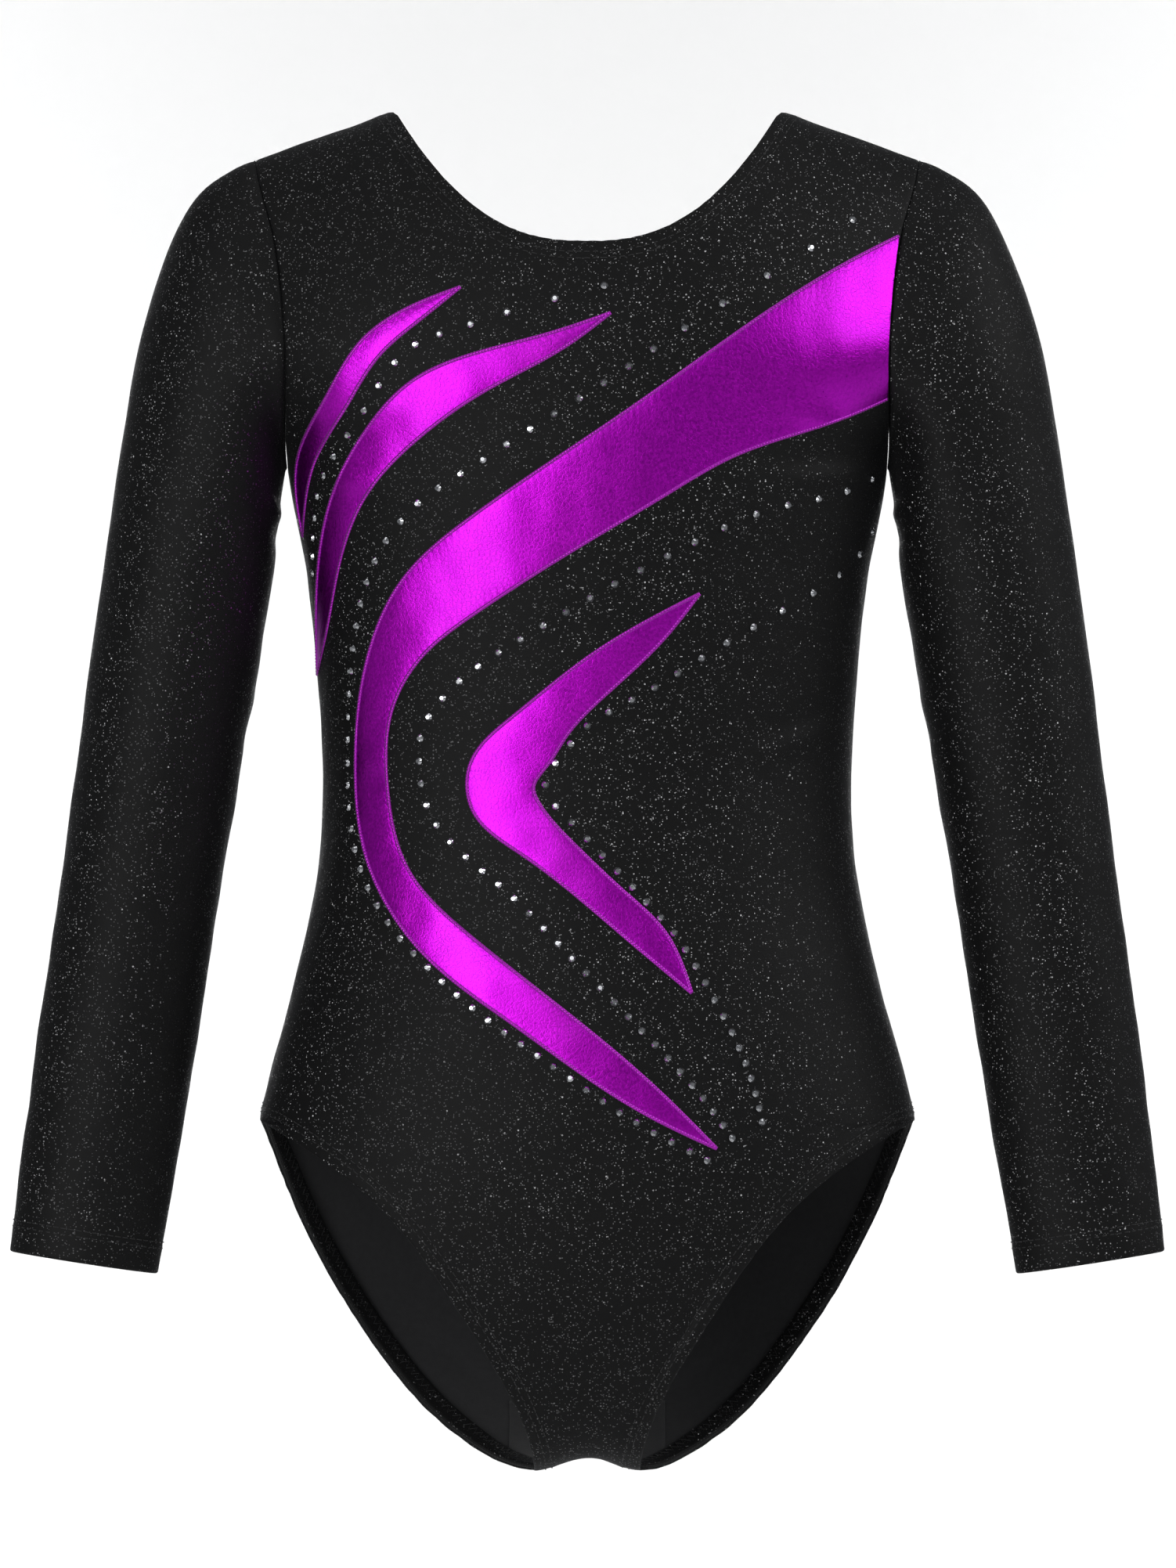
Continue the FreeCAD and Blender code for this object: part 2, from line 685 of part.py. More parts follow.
os.makedirs("parts", exist_ok=True)
for label, made in nodes.items():
    made.Shape.exportStep(f"parts/{label}.step")
    box = made.Shape.BoundBox
    print(
        f"{label:22} solids {len(made.Shape.Solids):3}  volume {made.Shape.Volume:9.1f}  "
        f"x {box.XMin:7.1f} {box.XMax:7.1f}  y {box.YMin:6.1f} {box.YMax:6.1f}  z {box.ZMin:7.1f} {box.ZMax:7.1f}"
    )
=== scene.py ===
"""Looks of the long-sleeved gymnastics leotard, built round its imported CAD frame.

The tables are in millimetres, as in the part's own source. MM turns them into metres.
+Z is up, -Y is the front, +X is the wearer's left.
"""
import math

import bpy
import numpy as np
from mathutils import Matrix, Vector
from mathutils.bvhtree import BVHTree
from mathutils.interpolate import poly_3d_calc
from mathutils.kdtree import KDTree


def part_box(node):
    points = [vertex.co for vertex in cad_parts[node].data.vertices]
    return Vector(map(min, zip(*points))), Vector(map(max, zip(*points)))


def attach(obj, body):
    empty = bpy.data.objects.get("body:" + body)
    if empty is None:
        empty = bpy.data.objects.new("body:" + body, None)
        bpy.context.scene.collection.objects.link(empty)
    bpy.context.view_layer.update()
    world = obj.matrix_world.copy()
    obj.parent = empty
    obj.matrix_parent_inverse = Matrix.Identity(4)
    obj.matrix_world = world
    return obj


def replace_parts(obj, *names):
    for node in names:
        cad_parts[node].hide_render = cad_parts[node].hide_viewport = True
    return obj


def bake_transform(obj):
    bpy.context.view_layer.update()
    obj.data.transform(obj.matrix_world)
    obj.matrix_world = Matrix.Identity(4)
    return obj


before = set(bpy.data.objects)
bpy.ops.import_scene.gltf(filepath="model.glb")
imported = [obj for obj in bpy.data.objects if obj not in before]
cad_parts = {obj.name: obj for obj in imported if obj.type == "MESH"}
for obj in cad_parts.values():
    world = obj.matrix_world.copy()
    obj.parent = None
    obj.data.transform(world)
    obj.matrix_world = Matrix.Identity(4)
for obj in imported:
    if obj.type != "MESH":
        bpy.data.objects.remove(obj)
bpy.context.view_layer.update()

MM = 0.001
SEED = 11

# The cloth and what is on it.
CLOTH = 0.8
TAPE = 0.7
GAP = 0.1
PARTING = 0.3
HEM = 8.0
HEM_ROWS = (4.3, 6.9)
HEM_PITCH = 3.1
ALLOWANCE = 4.0
CUFF_HEM = 13.0
TURNED = CLOTH + 2 * GAP + TAPE
UNDER_CLOTH = (CLOTH + GAP, CLOTH + GAP + TAPE)

# Torso: height, half width at the panels' edges, depth of the front, depth of the back.
TORSO = np.array((
    (40.0, 131.0, 52.0, 52.0),
    (-18.5, 128.0, 58.0, 58.0),
    (-50.0, 120.4, 61.0, 64.0),
    (-90.0, 116.2, 66.0, 70.0),
    (-137.0, 115.8, 69.0, 71.0),
    (-180.0, 108.3, 67.0, 67.0),
    (-225.0, 103.7, 63.5, 61.0),
    (-259.0, 102.1, 62.0, 59.0),
    (-295.0, 104.4, 64.0, 63.0),
    (-340.0, 114.2, 68.0, 73.0),
    (-386.0, 125.8, 70.0, 82.0),
    (-430.0, 129.0, 69.0, 84.0),
    (-530.0, 118.0, 66.0, 80.0),
))
WIDTH, FRONT, BACK = 1, 2, 3
DEPTHS = {"front": FRONT, "back": BACK}
WAY = {"front": -1, "back": 1}
SIDES = {"left": 1, "right": -1}
ARMPIT = -137.0
ARMHOLE_RISE = 50.0
ARM_ANGLE = 52.0
SHOULDER_HALF = 128.0
SHOULDER_SLOPE = 0.355
SHOULDER_ROUND = 95.0
SHOULDER_LEVEL = 76.0
SHOULDER_FLAT = 60.0
NECK_HALF = 74.0
NECK_DROP = {"front": 51.4, "back": 80.0}
NECK_POWER = {"front": 2.46, "back": 2.2}
HIP = -389.0
SEAT = -395.0
CROTCH = -524.8
FULLNESS = {"front": 2.0, "back": 2.4}
CROTCH_HALF = 20.4
ARCH, ARCH_WIDTH = 5.5, 12.0
TOP_ANGLE = math.radians(ARM_ANGLE)
NECK_SHARE = math.asin(NECK_HALF / SHOULDER_HALF * math.sin(TOP_ANGLE)) / TOP_ANGLE
UNDER_RATE = (SEAT - CROTCH) * math.pi / 180

# Rows of a panel: close ones at its top edge, then down to the armpit and on to the hip.
EDGE_ROWS = np.array([0.0, 0.4, 0.9, 1.5, 2.4, 4.0])
CHEST_ROWS = 46
FLANK_ROWS = 118

# Leg openings seen from the front, x and z, below the side seam.
LEG = {
    "front": ((103, -403), (76, -425.5), (53, -456), (33, -488), (22.5, -512)),
    "back": ((123.3, -398), (109, -434), (95.9, -458), (79.5, -482.5), (57.9, -506.6), (40.6, -518.7)),
}

# Sleeve head, from the armhole down: underarm point x, z; outer point x, z; half depth.
SLEEVE_HEAD = (
    (115.8, -137.0, 128.3, -18.3, 38.5),
    (116.5, -139.5, 147.0, -29.0, 38.5),
    (117.4, -145.0, 160.5, -51.0, 38.0),
    (119.0, -157.5, 170.0, -80.5, 36.5),
)
SLEEVE_X, SLEEVE_Z = 148.75, -145.0
SLEEVE_LEAN = math.radians(8.7)
# Straight sleeve: distance along the axis, tilt of the section, half width, half depth.
SLEEVE = (
    (0.0, 40.0, 32.3, 33.5),
    (42.5, 20.0, 32.1, 31.5),
    (85.0, 6.0, 31.6, 30.0),
    (144.7, 0.0, 30.6, 27.5),
    (226.6, 0.0, 30.4, 24.0),
    (302.5, 0.0, 28.8, 20.5),
)

# Foil ornaments seen from the front: x and z of both edges, each from tip to tip.
ORNAMENTS = {
    "upper_swoosh": (
        ((-48.5, -69), (-66.5, -76), (-86.5, -89.5), (-100.5, -111.5), (-111, -132.5), (-109.5, -164)),
        ((-48.5, -69), (-64, -81.5), (-80, -95.5), (-93, -115.5), (-104, -134), (-109.5, -164)),
    ),
    "middle_swoosh": (
        ((9, -79), (-13, -86.5), (-46, -95.5), (-67, -105), (-85, -124), (-97.5, -147.5), (-104, -183.5),
         (-104, -217)),
        ((9, -79), (-8.5, -92), (-38.5, -108.5), (-66, -128), (-85, -149), (-95, -174.5), (-100, -200),
         (-104, -217)),
    ),
    "main_band": (
        ((124, -46.5), (101, -58.5), (66, -80.5), (17.5, -115), (-44, -157), (-71, -181.5), (-84, -210),
         (-89, -252), (-84, -290), (-76, -307), (-64, -323), (-29.5, -350.5), (22, -385.5), (49.5, -399)),
        ((124, -107), (96.5, -119.5), (55.5, -134), (31, -148), (3.5, -164.5), (-34, -188), (-48, -197.5),
         (-61, -208), (-74.5, -230), (-76.5, -261), (-69, -291.5), (-45, -317.5), (-4, -350), (27.5, -377),
         (49.5, -399)),
    ),
    "chevron": (
        ((43, -186.5), (3, -209), (-29, -234), (-45, -252.5), (-44, -269), (-25.5, -286), (11.5, -315.5),
         (40, -339.5)),
        ((43, -186.5), (30, -203), (5, -227), (-8, -241), (-15.5, -252.5), (-20.5, -261), (-18, -267.5),
         (-5.5, -282), (14, -300.5), (30, -316.5), (40, -339.5)),
    ),
}

# Rows of stones seen from the front: path, number, and the gap that follows some of them, counted from 0.
STONE_ROWS = {
    "stones_upper_row": (
        ((6.5, -68.5), (-12.5, -73.5), (-31.5, -79), (-45.5, -83.5), (-56.5, -87), (-66, -91), (-73.5, -97.5),
         (-85, -115), (-97.5, -134), (-101.5, -141.5), (-105, -158), (-105.5, -178)),
        17, ((0, 20), (1, 19.5), (2, 15), (4, 10.4), (8, 11.5), (10, 8.4), (12, 8.4), (15, 6.6)),
    ),
    "stones_outer_row": (
        ((102, -42.5), (86, -53.5), (53, -74.5), (26, -92.5), (7, -105.5), (-21, -123), (-47.5, -140),
         (-64.5, -151.5), (-77, -166), (-84.5, -181.5), (-88.5, -198), (-91.5, -225), (-92, -247),
         (-91.5, -268), (-89, -285), (-84, -299.5), (-76.5, -312.5), (-61.5, -329.5), (-38, -350),
         (-11.5, -368.5), (12.5, -385), (46, -403.5)),
        56, ((0, 19.5), (2, 20), (5, 11.5), (10, 10.7), (14, 9.7), (18, 8.5), (26, 8.8), (32, 7.6),
             (54, 7.6)),
    ),
    "stones_inner_row": (
        ((109.5, -142), (99, -147), (77, -152.5), (65, -156), (41, -167), (10.5, -183), (-25.5, -204),
         (-42, -214.5), (-55.5, -226.5), (-64, -241.5), (-64.5, -251), (-61.5, -268), (-57.5, -275.5),
         (-34, -298), (-16.5, -315), (5.5, -338), (31, -364.5), (44.5, -380), (55.5, -395)),
        46, ((0, 11), (4, 13.5), (6, 12), (15, 9.3), (25, 8.3), (35, 7.8), (44, 6.2)),
    ),
    "stones_chevron_row": (
        ((109.5, -162), (104.5, -171), (96, -179.5), (73, -194), (42, -212.5), (24, -223.5), (6.5, -233),
         (-1, -238), (-7.5, -245.5), (-13, -252.5), (-16, -260.5), (-10.5, -269.5), (6.5, -287.5),
         (23.5, -305.5), (33.5, -317), (49, -342.5), (58.5, -361), (64.5, -378), (67, -389)),
        37, ((0, 10.1), (3, 13.9), (5, 12), (8, 10.4), (14, 9.3), (20, 8.3), (27, 7.4), (35, 5.6)),
    ),
}
STONE_RADIUS = 1.5
FOOT_RADIUS = 1.42
TABLE_RADIUS = 0.78
GIRDLE_HEIGHT = 0.28
STONE_HEIGHT = 1.15


# --- Curves and grids of points ---

def unit(vectors):
    """Vectors made one long."""
    return vectors / np.maximum(np.linalg.norm(vectors, axis=-1, keepdims=True), 1e-12)


def travelled(line):
    """How far along a line of points each one lies."""
    return np.concatenate([[0.0], np.cumsum(np.linalg.norm(np.diff(line, axis=0), axis=1))])


def read_line(line, at):
    """Points of a line at given distances along it."""
    far = travelled(line)
    return np.stack([np.interp(at, far, line[:, k]) for k in range(line.shape[1])], -1)


def cubic(knots, values, at):
    """A natural cubic curve through values at knots, read at other places."""
    knots, values, at = (np.asarray(a, float) for a in (knots, values, at))
    values = values.reshape(len(knots), -1)
    gaps = np.diff(knots)
    matrix = np.eye(len(knots))
    right = np.zeros_like(values)
    for i in range(1, len(knots) - 1):
        matrix[i, i - 1:i + 2] = gaps[i - 1], 2 * (gaps[i - 1] + gaps[i]), gaps[i]
        right[i] = 6 * ((values[i + 1] - values[i]) / gaps[i] - (values[i] - values[i - 1]) / gaps[i - 1])
    bend = np.linalg.solve(matrix, right)
    i = np.clip(np.searchsorted(knots, at) - 1, 0, len(knots) - 2)
    low = ((knots[i + 1] - at) / gaps[i])[:, None]
    high = ((at - knots[i]) / gaps[i])[:, None]
    curved = ((low ** 3 - low) * bend[i] + (high ** 3 - high) * bend[i + 1]) * (gaps[i] ** 2 / 6)[:, None]
    return low * values[i] + high * values[i + 1] + curved


def smooth_line(points):
    """A natural cubic curve through points, as many close points."""
    points = np.asarray(points, float)
    knots = travelled(points)
    return cubic(knots, points, np.linspace(0, knots[-1], 80 * len(points)))


def evenly(line, count):
    """A line's points, evenly spaced."""
    return read_line(line, np.linspace(0, travelled(line)[-1], count))


def spaced(line, step):
    """A line's points, evenly spaced and about a step apart."""
    return evenly(line, max(int(travelled(line)[-1] / step), 4))


def full_turn(count):
    """Angles all the way round, the last one a step short of the first."""
    return np.linspace(0, 2 * np.pi, count, endpoint=False)


def normals_of(grid, wrap=False):
    """Directions across a grid of points, by differences along its rows and columns."""
    along = np.roll(grid, -1, axis=1) - np.roll(grid, 1, axis=1) if wrap else np.gradient(grid, axis=1)
    return unit(np.cross(along, np.gradient(grid, axis=0)))


def bump(distance, width):
    """One at distance 0, and soon nothing past the width."""
    return np.exp(-(distance / width) ** 2)


# --- Shape of the torso ---

def between(column, height):
    """A smooth curve through one column of the torso's stations, read at heights."""
    heights, values = TORSO[:, 0], TORSO[:, column]
    last = len(heights) - 1
    low = np.maximum(np.arange(last + 1) - 1, 0)
    high = np.minimum(np.arange(last + 1) + 1, last)
    slopes = (values[high] - values[low]) / (heights[high] - heights[low])
    height = np.asarray(height, float)
    i = np.clip(np.searchsorted(-heights, -height, side="right") - 1, 0, last - 1)
    span = heights[i + 1] - heights[i]
    part = np.clip((height - heights[i]) / span, 0, 1)
    return (
        (2 * part ** 3 - 3 * part ** 2 + 1) * values[i]
        + (part ** 3 - 2 * part ** 2 + part) * span * slopes[i]
        + (3 * part ** 2 - 2 * part ** 3) * values[i + 1]
        + (part ** 3 - part ** 2) * span * slopes[i + 1]
    )


def edge_angle(height):
    """How far round the body a panel's edge lies: 90 degrees at the side seam, less at the armhole."""
    rise = np.clip((height - ARMPIT) / ARMHOLE_RISE, 0, 1)
    return np.radians(90 - (90 - ARM_ANGLE) * np.sin(np.pi / 2 * rise))


def seam_height(across):
    """Height of the shoulder seam."""
    x = np.abs(SHOULDER_HALF * np.sin(across * TOP_ANGLE) / math.sin(TOP_ANGLE))
    flat = SHOULDER_FLAT
    x = np.where(x < flat, flat - (flat ** 2 - x ** 2) / (2 * flat), x)
    return -SHOULDER_SLOPE * (x - SHOULDER_LEVEL)


def skin(face, across, height, swell):
    """Points of the cloth's outer face."""
    angle = edge_angle(height)
    half = between(WIDTH, height) / np.sin(angle)
    depth = between(DEPTHS[face], height) * np.cos(across * angle) * swell
    return np.stack([half * np.sin(across * angle), WAY[face] * depth, height + 0 * across], -1)


def upper_column(face, across):
    """A panel's outer face from the shoulder seam to the armpit's height, along one column."""
    turns = np.radians(np.linspace(0, 90, 121))
    seam = seam_height(np.float64(across))
    round_heights = seam - SHOULDER_ROUND * (1 - np.cos(turns))
    chest_heights = np.linspace(round_heights[-1], ARMPIT, 40)[1:]
    heights = np.concatenate([round_heights, chest_heights])
    swells = np.concatenate([np.sin(turns), np.ones(len(chest_heights))])
    line = skin(face, np.full(len(heights), across), heights, swells)
    neck = -NECK_DROP[face] * (1 - np.minimum(np.abs(line[:, 0]) / NECK_HALF, 1) ** NECK_POWER[face])
    above = line[:, 2] - neck
    start = 0.0
    if above[0] > 1e-6:
        k = int(np.argmax(above <= 0))
        share = above[k - 1] / (above[k - 1] - above[k])
        far = travelled(line)
        start = far[k - 1] + share * (far[k] - far[k - 1])
    return line, start


def down(height):
    """Height below the armpit as a distance that also counts the turn under the body."""
    share = np.clip((SEAT - height) / (SEAT - CROTCH), 0, 1)
    return np.where(height > SEAT, -height, -SEAT + np.degrees(np.arcsin(share)) * UNDER_RATE)


def leg_half(face, distance):
    """Half width that a leg opening leaves, by the distance down."""
    points = [(float(between(WIDTH, HIP)), -HIP)]
    points += [(x, float(down(np.float64(z)))) for x, z in LEG[face]]
    points.append((CROTCH_HALF, -SEAT + 90 * UNDER_RATE))
    widths, knots = zip(*points)
    return cubic(knots, widths, distance)[:, 0]


def lower_rows(face):
    """A panel's outer face below the armpit, row by row: heights, swells and reach of each row."""
    heights = np.concatenate([np.linspace(ARMPIT, HIP, FLANK_ROWS)[1:], np.linspace(HIP, SEAT, 4)[1:]])
    turns = np.radians(np.linspace(0, 90, 70))[1:]
    under = SEAT - (SEAT - CROTCH) * np.sin(turns)
    swells = np.concatenate([
        np.ones(len(heights)),
        np.sqrt(np.maximum(1 - np.sin(turns) ** FULLNESS[face], 0)),
    ])
    distances = np.concatenate([-heights, -SEAT + np.degrees(turns) * UNDER_RATE])
    heights = np.concatenate([heights, under])
    halves = between(WIDTH, heights)
    reach = np.ones(len(heights))
    below = heights < HIP - 1e-6
    share = np.minimum(leg_half(face, distances[below]) / halves[below], 1)
    reach[below] = np.arcsin(share) / (np.pi / 2)
    return heights, swells, reach


def columns():
    """Columns of a panel from edge to edge, closer together at the edges."""
    half = np.concatenate([
        np.linspace(0, NECK_SHARE, 40),
        np.linspace(NECK_SHARE, 0.97, 34)[1:],
        1 - np.array([0.018, 0.011, 0.0067, 0.003, 0.0]),
    ])
    return np.concatenate([-half[:0:-1], half])


def panel_points(face):
    """A panel's outer face as rows of points from the top edge to the crotch."""
    across = columns()
    rows = []
    for u in across:
        line, start = upper_column(face, u)
        end = travelled(line)[-1]
        inner = np.linspace(start + EDGE_ROWS[-1], end, CHEST_ROWS)[1:]
        rows.append(read_line(line, np.concatenate([start + EDGE_ROWS, inner])))
    upper = np.stack(rows, axis=1)
    heights, swells, reach = lower_rows(face)
    lower = skin(face, across[None, :] * reach[:, None], heights[:, None], swells[:, None])
    grid = np.concatenate([upper, lower])
    grid[..., 2] += ARCH * bump(grid[..., 0], ARCH_WIDTH) * bump(grid[..., 1], 17.0) * (grid[..., 2] < -480)
    return grid


# --- Folds and the set of the cloth ---

def drift(points, scale, seed):
    """Gentle unevenness from a few crossing waves, about -1 to 1."""
    random = np.random.default_rng(seed)
    total = np.zeros(points.shape[:-1])
    for _ in range(7):
        way = unit(random.normal(size=3))
        pace = random.uniform(0.7, 1.5)
        total += np.sin(points @ way * (2 * np.pi / scale) * pace + random.uniform(0, 6.3))
    return total / 3.2


def fold(points, start, end, width, depth):
    """One soft fold along a straight line seen from the front, fading at both ends."""
    start, end = np.array(start, float), np.array(end, float)
    line = end - start
    length = np.linalg.norm(line)
    seen = points[..., [0, 2]] - start
    along = seen @ line / length ** 2
    aside = (seen[..., 0] * line[1] - seen[..., 1] * line[0]) / length
    fade = np.clip(1 - np.abs(2 * along - 1), 0, 1) ** 0.7
    return depth * fade * (bump(aside, width) - 0.6 * bump(aside - 1.7 * width, width))


# Folds of the front and back, seen from the front: start, end, half width, height.
FOLDS = {
    "front": (
        ((108, -128), (72, -112), 3.6, 0.8),
        ((111, -140), (70, -143), 4.0, 0.8),
        ((-108, -128), (-72, -112), 3.6, 0.8),
        ((-111, -140), (-70, -146), 4.0, 0.7),
        ((99, -236), (62, -250), 4.2, 0.6),
        ((-98, -246), (-60, -256), 4.2, 0.6),
        ((60, -440), (16, -512), 3.0, 1.1),
        ((-44, -470), (-15, -517), 2.6, 0.8),
    ),
    "back": (
        ((106, -130), (66, -112), 4.2, 1.0),
        ((110, -142), (64, -148), 4.2, 1.0),
        ((-106, -130), (-66, -112), 4.2, 1.0),
        ((-110, -142), (-64, -146), 4.2, 0.9),
        ((92, -232), (34, -246), 5.0, 0.9),
        ((-92, -240), (-30, -252), 5.0, 0.9),
        ((88, -258), (30, -264), 5.0, 0.7),
        ((-86, -226), (-36, -230), 5.0, 0.7),
        ((70, -470), (22, -508), 4.0, 0.9),
        ((-70, -470), (-22, -508), 4.0, 0.9),
    ),
}


def set_cloth(face, grid):
    """The panel's outer face with its folds, and the directions across it."""
    out = normals_of(grid)
    if (out[..., 1] * WAY[face]).sum() < 0:
        out = -out
    height = 0.22 * drift(grid, 46.0, 3) + 0.10 * drift(grid, 17.0, 5)
    for start, end, width, depth in FOLDS[face]:
        height = height + fold(grid, start, end, width, depth)
    grid = grid + out * height[..., None]
    again = normals_of(grid)
    return grid, again if (again * out).sum() > 0 else -again


class Surface:
    """A mesh of points that other pieces are laid on."""

    def __init__(self, grids):
        points, faces, outward, count = [], [], [], 0
        for grid, out in grids:
            n, m = grid.shape[:2]
            index = np.arange(n * m).reshape(n, m) + count
            corners = (index[:-1, :-1], index[:-1, 1:], index[1:, 1:], index[1:, :-1])
            faces.append(np.stack([c.ravel() for c in corners], -1))
            points.append(grid.reshape(-1, 3))
            outward.append(out.reshape(-1, 3))
            count += n * m
        self.points = [Vector(p) for p in np.concatenate(points)]
        self.outward = np.concatenate(outward)
        self.faces = np.concatenate(faces).tolist()
        self.tree = BVHTree.FromPolygons(self.points, self.faces)

    def smooth(self, place, face):
        """The direction across the surface at a place, between its corners' directions."""
        corners = self.faces[face]
        shares = poly_3d_calc([self.points[c] for c in corners], place)
        return unit(np.array(shares) @ self.outward[corners])

    def seen(self, x, z):
        """The place that is seen at x, z from the front, and the direction out of the cloth."""
        place, _, face, _ = self.tree.ray_cast(Vector((x, -300, z)), Vector((0, 1, 0)))
        if place is None:
            place, _, face, _ = self.tree.find_nearest(Vector((x, -40, z)))
        return np.array(place), self.smooth(place, face)

    def nearest(self, point):
        """The nearest place on the surface, and the direction out of the cloth."""
        place, _, face, _ = self.tree.find_nearest(Vector(point))
        return np.array(place), self.smooth(place, face)

    def lay(self, points, finder=None):
        """Many points put on the surface: the places and the directions, in the same arrangement."""
        flat = points.reshape(-1, points.shape[-1])
        found = [finder(*p) if finder else self.nearest(p) for p in flat]
        shape = points.shape[:-1] + (3,)
        return tuple(np.array([f[k] for f in found]).reshape(shape) for k in (0, 1))

    def lay_seen(self, points):
        """Many points seen from the front, put on the surface."""
        return self.lay(points, self.seen)


# --- Meshes ---

class Mesh:
    """Points and faces of one piece, in millimetres."""

    def __init__(self):
        self.points, self.faces, self.marks, self.count = [], [], [], 0

    def add(self, points):
        """Adds points and gives their numbers, in the same arrangement."""
        points = np.asarray(points, float)
        numbers = np.arange(points.size // 3) + self.count
        self.points.append(points.reshape(-1, 3))
        self.count += len(numbers)
        return numbers.reshape(points.shape[:-1])

    def quads(self, a, b, c, d, mark=0):
        """Four-cornered faces."""
        faces = np.stack([np.ravel(k) for k in (a, b, c, d)], -1)
        self.faces.append(faces)
        self.marks.append(np.full(len(faces), mark))

    def cover(self, index, wrap=False, turned=False, mark=0):
        """Faces between the rows and columns of a grid."""
        if wrap:
            index = np.concatenate([index, index[:, :1]], axis=1)
        corners = [index[:-1, :-1], index[:-1, 1:], index[1:, 1:], index[1:, :-1]]
        self.quads(*(corners[::-1] if turned else corners), mark=mark)

    def rim(self, first, second):
        """Faces between two closed loops."""
        self.quads(np.roll(first, -1), first, second, np.roll(second, -1))

    def shell(self, outer, inner, wrap=False, inner_mark=1):
        """A closed sheet between two grids, with rounded edges."""
        a, b = self.add(outer), self.add(inner)
        self.cover(a, wrap)
        self.cover(b, wrap, turned=True, mark=inner_mark)
        row = np.arange(a.shape[1])
        back = row[::-1]
        loops = [(border(*a.shape), border(*a.shape, step=1))]
        if wrap:
            loops = [((0 * row, row), (0 * row + 1, row)), ((0 * back - 1, back), (0 * back - 2, back))]
        for walk, inside in loops:
            middle = self.add(edge_middle(outer[walk], outer[inside], inner[walk]))
            self.rim(a[walk], middle)
            self.rim(middle, b[walk])

    def layer(self, place, out, top, bottom, wrap=False):
        """A closed sheet of one material between two depths below a face."""
        outer, inner = (place - out * np.asarray(depth)[..., None] for depth in (top, bottom))
        self.shell(outer, inner, wrap, inner_mark=0)

    def tube(self, rings):
        """A closed skin round rings of points, with flat ends."""
        index = self.add(rings)
        self.cover(index, wrap=True)
        for end, way in ((0, 1), (-1, -1)):
            centre = self.add(rings[end].mean(axis=0)[None])[0]
            ring = index[end][::way]
            after = np.roll(ring, -1)
            self.faces.append(np.stack([after, ring, np.full(len(ring), centre)], -1))
            self.marks.append(np.zeros(len(ring), int))

    def make(self, name, materials, slot, smooth=True):
        """The Blender object, in metres, with every face looking outwards."""
        points = np.concatenate(self.points) * MM
        faces = self.faces
        volume = 0.0
        for group in faces:
            a, b = points[group[:, 0]], points[group[:, 1]]
            for k in range(2, group.shape[1]):
                volume += float((a * np.cross(b, points[group[:, k]])).sum())
                b = points[group[:, k]]
        if volume < 0:
            faces = [group[:, ::-1] for group in faces]
        data = bpy.data.meshes.new(name)
        sizes = np.concatenate([np.full(len(g), g.shape[1]) for g in faces])
        data.vertices.add(len(points))
        data.vertices.foreach_set("co", points.ravel().astype(np.float32))
        data.loops.add(int(sizes.sum()))
        data.loops.foreach_set("vertex_index", np.concatenate([g.ravel() for g in faces]).astype(np.int32))
        data.polygons.add(len(sizes))
        starts = np.concatenate([[0], np.cumsum(sizes)[:-1]]).astype(np.int32)
        data.polygons.foreach_set("loop_start", starts)
        data.polygons.foreach_set("material_index", np.concatenate(self.marks).astype(np.int32))
        data.polygons.foreach_set("use_smooth", np.full(len(sizes), smooth))
        data.update(calc_edges=True)
        rest = data.attributes.new("rest", "FLOAT_VECTOR", "POINT")
        rest.data.foreach_set("vector", points.ravel().astype(np.float32))
        made = placed(name, data, *materials)
        return made


def placed(name, data, *materials):
    """An object in the scene."""
    for material in materials:
        data.materials.append(material)
    made = bpy.data.objects.new(name, data)
    bpy.context.scene.collection.objects.link(made)
    return made


def on_torso(mesh, name, materials, slot, node=None, smooth=True):
    """A piece that rides on the torso, in the place of a CAD node if it is given."""
    piece = mesh.make(name, materials, slot, smooth)
    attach(piece, "torso")
    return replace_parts(piece, node) if node else piece


def border(rows, cols, step=0):
    """Row and column numbers of the points round a grid's border, or of those a step inside it."""
    top = [(0, j) for j in range(cols)]
    right = [(i, cols - 1) for i in range(1, rows)]
    bottom = [(rows - 1, j) for j in range(cols - 2, -1, -1)]
    left = [(i, 0) for i in range(rows - 2, 0, -1)]
    walk = np.array(top + right + bottom + left)
    i = np.clip(walk[:, 0], step, rows - 1 - step)
    j = np.clip(walk[:, 1], step, cols - 1 - step)
    return i, j


def edge_middle(outer, inside, inner):
    """Points half way through a sheet's edge, standing out a little so that the edge is round."""
    thickness = np.linalg.norm(outer - inner, axis=-1, keepdims=True)
    return (outer + inner) / 2 + unit(outer - inside) * thickness * 0.36


# --- Materials ---

